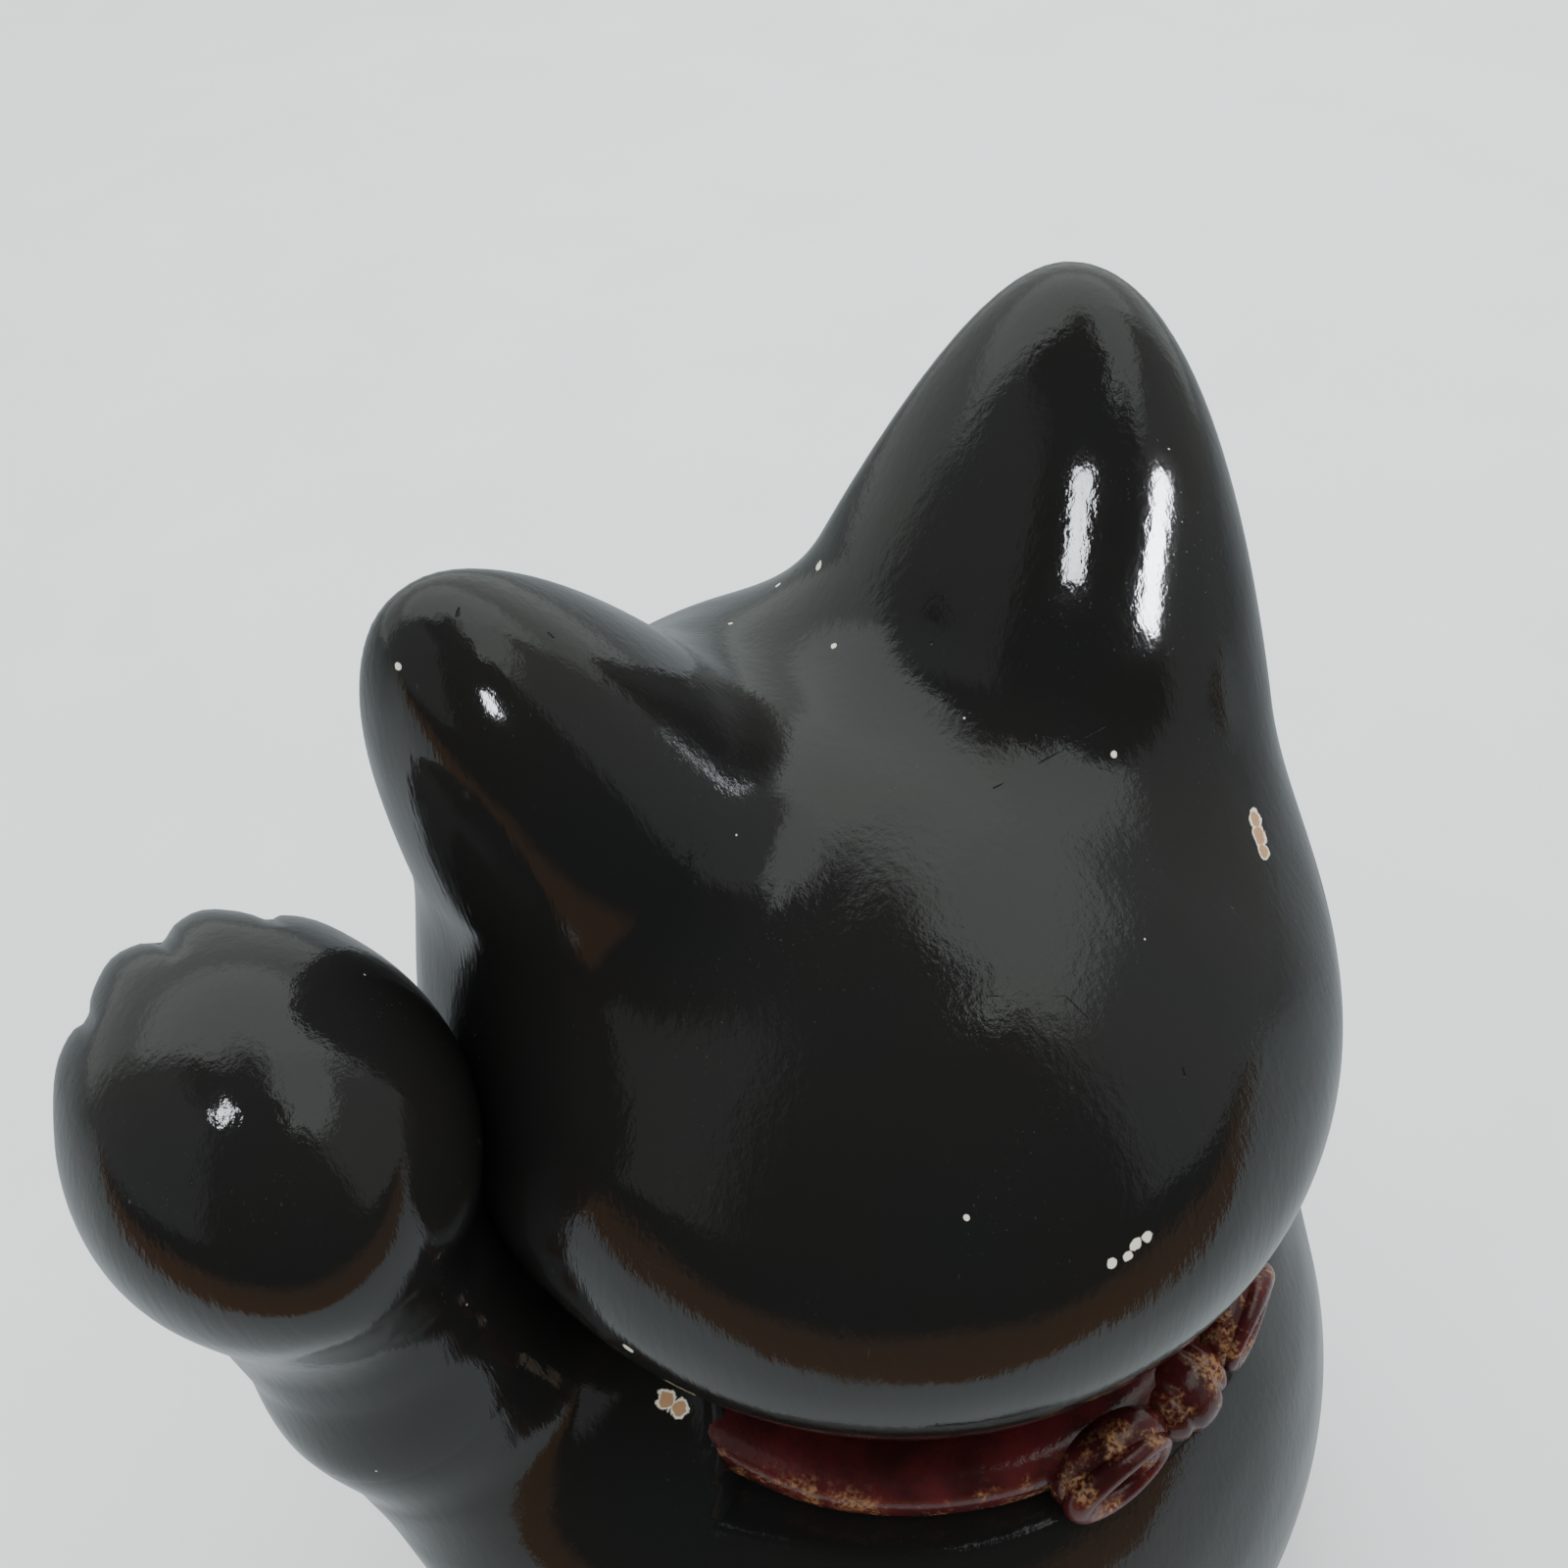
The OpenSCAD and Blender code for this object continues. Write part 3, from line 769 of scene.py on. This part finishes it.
# Brushed gloss lacquer over earthenware: near-black and mirror-bright, with slow hills that bend what it
# mirrors, brush ridges that fray the edges of it, rubbed duller patches, dust, pits, and chips to the clay
def makeLacquer(name, rule=None, chips=(), scratches=()):
    material, tree, where = newMaterial(name)
    fray = noise(tree, where, 1.1, 4.0)
    slow = noise(tree, where, lacquer["swellSize"], 1.0)
    ridges = noise(tree, where, lacquer["ridgeSize"], 3.0, ((1.0, 1.0, 0.16), (0.25, 0.12, 0.0)), 0.6)
    grain = noise(tree, where, 0.45, 2.0)
    patches = noise(tree, where, 17.0, 4.0)
    rubbed = mapped(tree, patches, 0.48, 0.72)
    hairs = noise(tree, where, 0.35, 2.0, ((1.0, 1.0, 0.03), (0.5, -0.35, 0.2)))
    hairline = times(tree, mapped(tree, hairs, 0.70, 0.74), rubbed)
    cells = addNode(tree, "TexVoronoi", None, Vector=where, Scale=1 / (7.5 * mm))
    mote = mapped(tree, cells.outputs["Distance"], 0.028, 0.018)
    lot = addNode(tree, "SeparateColor", None, Color=cells.outputs["Color"]).outputs[0]
    chosen = mapped(tree, lot, 0.78, 0.80)
    dust = times(tree, mote, chosen)
    pitCells = addNode(tree, "TexVoronoi", None, Vector=where, Scale=1 / (4.2 * mm))
    pits = mapped(tree, pitCells.outputs["Distance"], 0.07, 0.02)
    pits = times(tree, pits, mapped(tree, patches, 0.60, 0.66))

    colour = mixed(tree, slow, lacquer["colour"], lacquer["warmColour"])
    colour = mixed(tree, times(tree, hairline, 0.5), colour, "#4a4844")
    colour = mixed(tree, dust, colour, lacquer["dust"])
    rough = mapped(tree, patches, 0.35, 0.75, *lacquer["roughness"])
    rough = maths(tree, "MULTIPLY_ADD", larger(tree, [hairline, dust]), 0.35, rough)
    height = maths(tree, "SUBTRACT", ridges, times(tree, pits, 6.0))
    worn = None
    if chips:
        places = onSkin(rule, [middle for middle, radius, depth in chips])
        clayMasks = []
        primerMasks = []
        for place, (_, radius, depth) in zip(places, chips):
            if depth == "clay":
                clayMasks.append(spotMask(tree, where, fray, place, radius))
            primerMasks.append(spotMask(tree, where, fray, place, radius * (1.35 if depth == "clay" else 1)))
        clayTone = mixed(tree, grain, lacquer["clay"], "#8a6a4c")
        primer = larger(tree, primerMasks)
        colour = mixed(tree, primer, colour, lacquer["primer"])
        worn = primer
        if clayMasks:
            clay = larger(tree, clayMasks)
            colour = mixed(tree, clay, colour, clayTone)
            worn = larger(tree, [primer, clay])
    if scratches:
        ends = onSkin(rule, [end for a, b, width in scratches for end in (a, b)]).reshape(-1, 2, 3)
        scored = larger(tree, [lineMask(tree, where, fray, a, b, width)
                               for (a, b), (_, _, width) in zip(ends, scratches)])
        colour = mixed(tree, times(tree, scored, 0.6), colour, "#050505")
        rough = maths(tree, "MULTIPLY_ADD", scored, 0.4, rough)
        worn = scored if worn is None else larger(tree, [worn, scored])
    if worn is not None:
        rough = mapped(tree, worn, 0.0, 1.0, rough, 0.75)
    normal = bumped(tree, slow, lacquer["swellHeight"] * 10)
    normal = bumped(tree, height, lacquer["ridgeHeight"] * 10, normal)
    normal = bumped(tree, grain, 0.004, normal)
    if worn is not None:
        sunk = maths(tree, "SUBTRACT", 1.0, worn)
        normal = bumped(tree, sunk, 0.35, normal)
    coated(tree, colour, rough, normal, lacquer["ior"])
    return material


redPaint = {
    "colour": "#421618",
    "deepColour": "#240e0f",
    "gold": "#7f5c3a",
    "roughness": (0.10, 0.26),
    "rubSize": 6.0,  # mm across a rubbed patch
}


# Brushed red gloss paint with gilding rubbed over its high places: deep and wet-looking, warm where worn
def makeRedPaint():
    material, tree, where = newMaterial("brushed_red_paint")
    fray = noise(tree, where, 0.8, 4.0)
    slow = noise(tree, where, 9.0, 3.0)
    streaks = noise(tree, where, 1.2, 3.0, ((1.0, 1.0, 0.3), (0.0, 0.4, 0.0)), 0.6)
    flat = vectorMaths(tree, "MULTIPLY", where, (1, 1, 0))
    axisAway = vectorMaths(tree, "DISTANCE", flat, (0, collarMiddle[1] * mm, 0), "Value")
    high = mapped(tree, axisAway, (collarOuter - 3.0) * mm, (collarOuter + 0.5) * mm)
    patch = mapped(tree, noise(tree, where, redPaint["rubSize"], 4.0, None, 0.65), 0.50, 0.62)
    rub = times(tree, times(tree, high, patch), mapped(tree, fray, 0.38, 0.60))
    colour = mixed(tree, mapped(tree, slow, 0.35, 0.7), redPaint["colour"], redPaint["deepColour"])
    colour = mixed(tree, times(tree, mapped(tree, streaks, 0.5, 0.8), 0.35), colour, "#1e0a0a")
    colour = mixed(tree, rub, colour, redPaint["gold"])
    rough = mapped(tree, streaks, 0.3, 0.8, *redPaint["roughness"])
    rough = mapped(tree, rub, 0.0, 1.0, rough, 0.42)
    normal = bumped(tree, streaks, 0.10)
    normal = bumped(tree, fray, 0.02, normal)
    coated(tree, colour, rough, normal)
    return material


# Even coat: a slow noise (size in mm, detail, upper limit) mixes its two colours; a fine one (size, detail,
# stretch) sets its roughness and lifts it
def evenCoat(name, colours, tone, fine, roughness, lift, ior=1.5, metallic=0.0):
    material, tree, where = newMaterial(name)
    toneSize, toneDetail, toneHigh = tone
    grit = noise(tree, where, *fine)
    blend = mapped(tree, noise(tree, where, toneSize, toneDetail), 0.4, toneHigh)
    rough = mapped(tree, grit, 0.3, 0.7, *roughness)
    coated(tree, mixed(tree, blend, *colours), rough, bumped(tree, grit, lift), ior, metallic)
    return material


# Brushed enamel for the small painted details: even colour, faint brush lines and a soft gloss
def makeEnamel(name, hexColour, hexWorn, roughness):
    lines = (0.7, 3.0, ((1.0, 1.0, 0.25), (0.3, 0.2, 0.0)))
    return evenCoat(name, (hexColour, hexWorn), (3.0, 3.0, 0.8), lines, (roughness, roughness + 0.15), 0.03)


# Slip-cast earthenware left bare underneath: matt, warm and slightly gritty, with lacquer run onto its edge
def makeBareClay():
    material, tree, where = newMaterial("bare_earthenware")
    grit = noise(tree, where, 0.6, 4.0)
    tone = noise(tree, where, 14.0, 4.0)
    ragged = noise(tree, where, 5.0, 4.0)
    z = addNode(tree, "SeparateXYZ", Vector=where).outputs["Z"]
    edge = maths(tree, "MULTIPLY_ADD", ragged, -1.6 * mm, z)
    lacquered = mapped(tree, edge, 0.2 * mm, 0.4 * mm)
    clay = mixed(tree, mapped(tree, tone, 0.35, 0.7), "#b98a62", "#96694a")
    clay = mixed(tree, times(tree, mapped(tree, grit, 0.55, 0.75), 0.4), clay, "#6b4a33")
    colour = mixed(tree, lacquered, clay, lacquer["colour"])
    rough = mapped(tree, lacquered, 0.0, 1.0, 0.85, 0.12)
    coated(tree, colour, rough, bumped(tree, grit, 0.12))
    return material


headLacquer = makeLacquer("brushed_black_lacquer_head", headRule, headChips, headScratches)
armLacquer = makeLacquer("brushed_black_lacquer_foreleg", armAndShoulder, armChips)
plainLacquer = makeLacquer("brushed_black_lacquer")
redCoat = makeRedPaint()
# Bronze powder: a satin metal look. Rubber: matt, with a fine bloom
goldCoat = evenCoat("bronze_powder_gold_paint", ("#c99a3c", "#8a6222"), (4.0, 4.0, 0.75), (0.5, 3.0),
                    (0.28, 0.5), 0.04, metallic=0.9)
bareClay = makeBareClay()
rubber = evenCoat("moulded_rubber", ("#202021", "#343536"), (8.0, 4.0, 0.8), (0.4, 3.0),
                  (0.55, 0.75), 0.05, 1.52)
eyeGold = makeEnamel("brushed_gold_enamel", "#d8a63a", "#b8842a", 0.18)
eyeBlack = makeEnamel("brushed_black_enamel", "#0a0a0b", "#101010", 0.08)
redEnamel = makeEnamel("brushed_red_enamel", "#9c2018", "#6e1812", 0.2)
whiteEnamel = makeEnamel("brushed_white_enamel", "#d9d4c6", "#b9b3a2", 0.25)
print("finishes mixed")


# Each ball skin: name, node, rule, middle, reach in mm, fineness, rounds of evening out, material
for name, node, rule, middle, far, n, rounds, coat in (
    ("head", "head_casting", headAndNeck, head["centre"], 150, 108, 24, headLacquer),
    ("body", "body_casting", bodyRule, body["middle"], 140, 96, 20, plainLacquer),
):
    points, quads, normals = ballSkin(rule, middle, far, n, rounds)
    makePiece("lacquered_" + name, points, quads, coat, node, normals=normals)
    print(name + " cast")

# Each limb: its node, rule and fillet into the torso in mm, then the same, and the height it stays above
for node, rule, fillet, middle, far, n, rounds, lowest, coat in (
    ("raised_foreleg", armRule, arm["shoulderBlend"], arm["middle"], 110, 96, 24, -200, armLacquer),
    ("standing_foreleg", legRule, 10, leg["middle"], 90, 56, 20, 0.1, plainLacquer),
    ("tail", tailRule, 9, tailShape["bend"], 60, 48, 20, 0.1, plainLacquer),
):
    points, quads, normals = joinedSkin(rule, torsoRule, fillet, middle, far, n, rounds, lowest)
    makePiece("lacquered_" + node, points, quads, coat, node, normals=normals)

for side, name in sides:
    centre = (side * hindPaw["centre"][0],) + hindPaw["centre"][1:]
    points, quads, normals = joinedSkin(hindPawRule(side), torsoRule, 8, centre, 40, 40, 16, plateTop + 0.15)
    makePiece("lacquered_hind_paw_" + name, points, quads, plainLacquer, normals=normals)
print("limbs cast")


plate = {
    "edge": 1.2,  # mm that its lower edge is rounded
    "around": 360,
    "flangePast": 3.7,  # mm that the plug's flange reaches past the pour hole
    "boreWider": 4,  # mm that the counterbore is wider than the hole
    "boreDeep": 3.2,
}


# Closed ring of faces from rings of points: rows x columns, both ways round
def ringFaces(rows, columns):
    i, j = np.meshgrid(np.arange(rows), np.arange(columns), indexing="ij")
    nextI, nextJ = (i + 1) % rows, (j + 1) % columns
    corners = [i * columns + j, nextI * columns + j, nextI * columns + nextJ, i * columns + nextJ]
    return np.stack(corners, -1).reshape(-1, 4)


# Edge of the plate: how far each ray from the plug's middle runs to the first edge of the body or a hind paw
# where they stand; a paw's inner side, behind a gap on such a ray, is left out
def plateOutline(turns):
    holeY = plugBox.mean(0)[1]

    def rule(p):
        low = p.copy()
        low[:, 2] = plateTop
        d = torsoRule(low)
        for side in (1, -1):
            centre = (side * hindPaw["centre"][0],) + hindPaw["centre"][1:]
            d = blended(d, standingPaw(low, centre, hindPaw["radii"]) + 0.15, 4)
        return d
    directions = np.stack([np.cos(turns), np.sin(turns), np.zeros_like(turns)], -1)
    start = np.tile(np.array([0, holeY, 0.0]), (len(turns), 1))
    return start, directions, firstCrossing(rule, start, directions, 150, 60)


turns = np.linspace(0, 2 * math.pi, plate["around"], endpoint=False)
start, directions, reach = plateOutline(turns)
holeR = plugBox[1][0] - plate["flangePast"]
boreR = holeR + plate["boreWider"]
deep = plate["boreDeep"]
edge = plate["edge"]
arc = np.linspace(0, math.pi / 2, 6)
profile = [(1, 0, plateTop - 0.05), (1, 0, plateTop - 0.5)]
profile += [(1, -edge + edge * math.cos(a), edge - edge * math.sin(a)) for a in arc]
profile += [(0, boreR + 0.4, 0.0), (0, boreR + 0.1, 0.1), (0, boreR, 0.4), (0, boreR, deep - 0.1)]
profile += [(0, boreR - 0.1, deep), (0, holeR + 0.2, deep), (0, holeR, deep + 0.2)]
profile += [(0, holeR, plateTop - 0.3), (0, holeR + 0.3, plateTop - 0.05)]
rings = [start + directions * (outer * reach + out)[:, None] + [0, 0, z] for outer, out, z in profile]
plateFaces = ringFaces(len(rings), plate["around"])[:, ::-1]
makePiece("lacquer_edged_base_plate", np.concatenate(rings), plateFaces, bareClay, "base_plate")


# Turned shape: a profile of (radius, height) carried round an upright axis, both ends closed by a flat
def turned(profile, axisXy, around):
    turnsRound = np.linspace(0, 2 * math.pi, around, endpoint=False)
    r, z = np.array(profile, float).T
    grid = np.stack([
        axisXy[0] + r[:, None] * np.cos(turnsRound),
        axisXy[1] + r[:, None] * np.sin(turnsRound),
        np.repeat(z[:, None], around, 1),
    ], -1)
    faces = ringFaces(len(r), around)[: (len(r) - 1) * around].tolist()
    faces += [list(range(around)), list(range(len(r) * around - 1, (len(r) - 1) * around - 1, -1))]
    return grid.reshape(-1, 3), faces


plugLow = plugBox[0][2]
plugTop = plugBox[1][2]
flangeR = plugBox[1][0]
arc = np.linspace(0, math.pi / 2, 5)
profile = [(r, plugLow + z) for r, z in ((0.5, 1.2), (8.0, 1.2), (8.8, 1.0), (9.4, 0.2), (9.9, 0))]
profile += [(flangeR - 0.6 + 0.6 * math.sin(a), plugLow + 0.6 - 0.6 * math.cos(a)) for a in arc]
profile += [(flangeR, plugLow + 2.1), (flangeR - 0.3, plugLow + 2.4), (holeR + 0.3, plugLow + 2.4)]
profile += [(holeR - 0.1, plugLow + 2.7), (holeR - 0.1, plugTop - 1.5), (holeR - 0.4, plugTop - 0.6)]
profile += [(holeR - 1.4, plugTop), (0.5, plugTop)]
points, faces = turned(profile, (0, plugBox.mean(0)[1]), 96)
makePiece("moulded_base_plug", points, faces, rubber, "base_plug", body="plug")
print("base closed")


collar = {"thick": 6.45, "half": 5.85, "square": 2.5, "waver": 0.18, "around": 256, "sides": 40}


# Band: a squarish oval carried round the neck, its edge wavering a little as hand modelling does
def collarBand():
    u = np.linspace(0, 2 * math.pi, collar["around"], endpoint=False)[:, None]
    v = np.linspace(0, 2 * math.pi, collar["sides"], endpoint=False)[None, :]
    c, s = np.cos(v), np.sin(v)
    size = (np.abs(c) ** collar["square"] + np.abs(s) ** collar["square"]) ** (-1 / collar["square"])
    waver = collar["waver"] * (np.sin(7 * u + 1) + 0.7 * np.sin(13 * u + 2.4) + 0.5 * np.sin(22 * u)) / 2.2
    out = collarOuter - collar["thick"] - 0.3 + (collar["thick"] + waver) * size * c
    z = collarMiddle[2] + (collar["half"] + 0.4 * waver) * size * s
    points = np.stack([out * np.sin(u), collarMiddle[1] + out * np.cos(u), z + 0 * u], -1)
    return points.reshape(-1, 3), ringFaces(collar["around"], collar["sides"])


points, quads = collarBand()
makePiece("painted_collar", points, quads, redCoat, "collar_band")

bow = {
    "bearing": -8,  # degrees round the neck from the middle of the back, + to the cat's left
    "knot": (8.8, 6.6, 7.8),  # half sizes along the collar, outwards and up
    "loopBearing": 16,
    "loopTilt": 8,
    "loop": (11.2, 5.6, 8.8),
    "hollow": (7.4, 5.4, 5.0),
    "rim": 2.3,
    "rimPath": (8.4, 5.9),
    "rimOut": 3.2,  # how far the rim's middle stands out
}


# Moves points from the collar's own frame (along, outwards, up) to a bearing round the neck
def onCollar(points, bearing, lift=0.0):
    a = math.radians(bearing)
    along = np.array([math.cos(a), -math.sin(a), 0])
    out = np.array([math.sin(a), math.cos(a), 0])
    middle = np.array([0, collarMiddle[1], collarMiddle[2] + lift]) + out * collarOuter
    return middle + points[:, :1] * along + points[:, 1:2] * out + points[:, 2:] * [0, 0, 1]


# Turns points in the collar's frame by a tilt in the plane of the collar's face
def tilted(points, degrees):
    a = math.radians(degrees)
    turn = np.array([[math.cos(a), 0, math.sin(a)], [0, 1, 0], [-math.sin(a), 0, math.cos(a)]])
    return points @ turn.T


# Knot: an egg pinched by two creases that run up and down
def knotRule(p):
    d = ellipsoid(p, (0, 0, 0), bow["knot"])
    for x in (-4.2, 3.8):
        d = d + 0.7 * np.exp(-((p[..., 0] - x - 0.12 * p[..., 2]) / 1.0) ** 2)
    return d


points, quads, _ = ballSkin(knotRule, (0, 0, 0), 20, 36, 12)
makePiece("painted_bow_knot", onCollar(points, bow["bearing"]), quads, redCoat, "bow_knot")


# Loop of the bow on the side s: a dished egg with a rolled rim round it, a tube carried round an oval
def bowLoop(s):
    def dish(p):
        egg = ellipsoid(p, (0, 0, 0), bow["loop"])
        hollow = ellipsoid(p, (s * 1.0, 6.8, 0), bow["hollow"])
        return trimmed(egg, -hollow, 1.5)
    egg, eggFaces, _ = ballSkin(dish, (0, -2, 0), 24, 30, 12)
    u = np.linspace(0, 2 * math.pi, 72, endpoint=False)[:, None]
    v = np.linspace(0, 2 * math.pi, 20, endpoint=False)[None, :]
    wide, high = bow["rimPath"]
    thick = bow["rim"] * (1 - 0.28 * np.cos(u) * -s)
    spread = thick * np.cos(v)
    rim = np.stack([
        (wide + spread) * np.cos(u),
        bow["rimOut"] + thick * np.sin(v) * 0.9 + 0.5 * np.sin(u) ** 2,
        (high + spread) * np.sin(u),
    ], -1).reshape(-1, 3)
    points = np.concatenate([egg, rim])
    faces = np.concatenate([eggFaces, ringFaces(72, 20)[:, ::-1] + len(egg)])
    return onCollar(tilted(points, s * bow["loopTilt"]), bow["bearing"] + s * bow["loopBearing"]), faces


for s, side in sides:
    points, quads = bowLoop(s)
    makePiece("painted_bow_loop_" + side, points, quads, redCoat, "bow_loop_" + side)
print("bow tied")


bell = {
    "radius": 9.8,
    "fromFront": 10.9,  # mm from the front of the CAD bell to the middle
    "beltHalf": 1.2,
    "beltIn": 0.4,  # mm that the belt's middle lies inside the ball's skin
    "slot": 0.9,
    "slotTop": -4.5,  # mm, against the bell's middle
}
# Heights of the lug are over the bell's middle
lug = {"radius": 3.0, "foot": 8.5, "waist": 11, "shoulder": 15, "top": 16.5}
bellMiddle = np.array([0, bellBox[0][1] + bell["fromFront"], bellBox.mean(0)[2]])


# Bell: a ball eased into a rounded belt, with a flat slot cut up into it from below
def bellRule(p):
    q = p - bellMiddle
    ball = np.linalg.norm(q, axis=-1) - bell["radius"]
    beltOut = np.hypot(q[..., 0], q[..., 1]) - bell["radius"] + bell["beltIn"]
    ring = np.hypot(beltOut, q[..., 2]) - bell["beltHalf"]
    d = blended(ball, ring, 0.8)
    slot = np.maximum(np.abs(q[..., 1]) - bell["slot"], q[..., 2] - bell["slotTop"])
    return trimmed(d, -slot, 0.6)


points, quads, _ = ballSkin(bellRule, bellMiddle, 16, 44, 8)
makePiece("gilt_bell", points, quads, goldCoat, "bell")
profile = [(0.4, lug["foot"]), (lug["radius"], lug["foot"]), (lug["radius"] - 0.4, lug["waist"])]
profile += [(lug["radius"] - 0.2, lug["shoulder"]), (0.4, lug["top"])]
profile = [(r, bellMiddle[2] + z) for r, z in profile]
points, faces = turned(profile, bellMiddle[:2], 40)
makePiece("gilt_bell_loop", points, faces, goldCoat, "bell_loop")
print("bell hung")


# Points of a skin met by lines that run straight back at (x, z), and the way out of the skin there
def fromFront(rule, x, z):
    spots = np.stack([x, np.full_like(x, face["viewY"]), z], -1)
    onward = np.tile([0.0, 1.0, 0.0], (len(x), 1))
    reach = firstCrossing(lambda p: -rule(p), spots, onward, face["viewReach"], 80)
    surface = spots + onward * reach[:, None]
    return surface, unit(slopeOf(rule, surface))


# A film of paint on a skin, seen from the front: a flattened ball whose outline is given by bend(x, z);
# its front stands a hair proud of the skin and its back lies under it
def paintFilm(name, rule, middle, radii, material, bend=None, n=14, lift=0.14):
    directions, quads = cubeGrid(n)
    x, z = directions[:, 0] * radii[0], directions[:, 2] * radii[1]
    if bend is not None:
        x, z = bend(x, z)
    surface, out = fromFront(rule, x + middle[0], z + middle[1])
    back = directions[:, 1]
    proud = np.where(back < 0, lift * np.sqrt(np.clip(-back, 0, 1)), -0.4 * back)
    makePiece(name, surface + out * proud[:, None], quads, material)


# A brush line on a skin, seen from the front: a path in (x, z) and its width, tapering to both ends
def brushLine(name, rule, path, width, material):
    path = np.array(path, float)
    s = np.linspace(0, 1, 40)
    knots = np.linspace(0, 1, len(path))
    weights = np.exp(-((s[:, None] - knots) / (0.55 / (len(path) - 1))) ** 2)
    line = (weights @ path) / weights.sum(1, keepdims=True)
    ahead = unit(np.gradient(line, axis=0))
    across = np.stack([-ahead[:, 1], ahead[:, 0]], -1)
    half = width / 2 * (0.15 + 0.85 * np.sin(math.pi * s) ** 0.6)
    v = np.linspace(0, 2 * math.pi, 8, endpoint=False)
    flat = line[:, None] + across[:, None] * (half[:, None] * np.cos(v))[..., None]
    surface, out = fromFront(rule, flat[..., 0].ravel(), flat[..., 1].ravel())
    rise = np.tile(np.where(np.sin(v) > 0, 0.12, -0.3) * np.abs(np.sin(v)), len(s))
    rings = surface + out * rise[:, None]
    faces = ringFaces(len(s), 8)[: (len(s) - 1) * 8].tolist()
    faces += [list(range(8)), list(range(len(rings) - 1, len(rings) - 9, -1))]
    makePiece(name, rings, faces, material)


face = {
    "viewY": -125.0,  # mm, the plane before the face that the painted details are carried back from
    "viewReach": 120,
    "eye": (27, 185),  # middle of the left eye, across and up
    "eyeSize": (11.5, 8.6),
    "pupil": (4.2, 6.6),
    "nose": (0, 168),
    "mouthTop": 160.5,
    "whiskerRoots": ((25, 163), (26, 158), (25, 153)),
    "whiskerEnds": ((58, 171), (60, 159), (56, 147)),
}
for s, side in sides:
    # Almond: lower towards both corners by the square of the way out, its outer corner raised
    def almond(x, z, s=s):
        share = x / face["eyeSize"][0]
        return x, z * (1 - 0.18 * share ** 2) + 1.8 * s * share
    ex, ez = s * face["eye"][0], face["eye"][1]
    paintFilm("eye_line_" + side, headRule, (ex, ez), (12.6, 9.7), redEnamel, almond, 20, 0.10)
    paintFilm("eye_" + side, headRule, (ex, ez), face["eyeSize"], eyeGold, almond, 20, 0.22)
    paintFilm("pupil_" + side, headRule, (ex - s * 1.2, ez), face["pupil"], eyeBlack, None, 14, 0.36)
    paintFilm("eye_light_" + side, headRule, (ex - s * 0.2, ez + 3.2), (1.3, 1.5), whiteEnamel, None, 8, 0.46)
    for k, (root, end) in enumerate(zip(face["whiskerRoots"], face["whiskerEnds"])):
        middle = ((root[0] + end[0]) / 2, (root[1] + end[1]) / 2 + 1.5)
        path = [(s * root[0], root[1]), (s * middle[0], middle[1]), (s * end[0], end[1])]
        brushLine("whisker_%s_%d" % (side, k + 1), headRule, path, 1.1, whiteEnamel)
    path = [(s * 0.2, face["mouthTop"]), (s * 1.5, 155.5), (s * 6, 152), (s * 11.5, 153), (s * 14.5, 157)]
    brushLine("mouth_" + side, headRule, path, 1.5, redEnamel)


# Nose: an oval widened upwards in proportion to the height
def noseShape(x, z):
    return x * (1 + 0.35 * z / 3.2), z


paintFilm("nose", headRule, face["nose"], (4.6, 3.2), redEnamel, noseShape, 14, 0.2)
brushLine("lip", headRule, [(0, 165.4), (0, 163), (0, face["mouthTop"] - 0.6)], 1.4, redEnamel)

# Inner ears: red leaf shapes on the ears' scooped fronts, pointed towards the tips
for name, tip, lean, spread in (("left", head["leftTip"], head["leftLean"], head["leftSpread"]),
                                ("right", head["rightTip"], head["rightLean"], head["rightSpread"])):
    w = unit(lean)
    low, high = 60, 15
    middle = np.array(tip) - w * (low + high) / 2
    half = (low - high) / 2 * w[2]

    # Leaf: as wide as the root of its depth below the tip, drawn in towards the tip
    def leaf(x, z, w=w, spread=spread, half=half):
        depth = (low + high) / 2 - z / w[2]
        wide = 0.50 * np.sqrt(spread[0] * np.maximum(depth, 3)) * (0.55 + 0.45 * (1 - (z / half)) / 2 * 1.6)
        return x * wide + z * w[0] / w[2], z
    paintFilm("inner_ear_" + name, headRule, (middle[0], middle[2]), (1.0, half), redEnamel, leaf, 22, 0.14)
print("face painted")
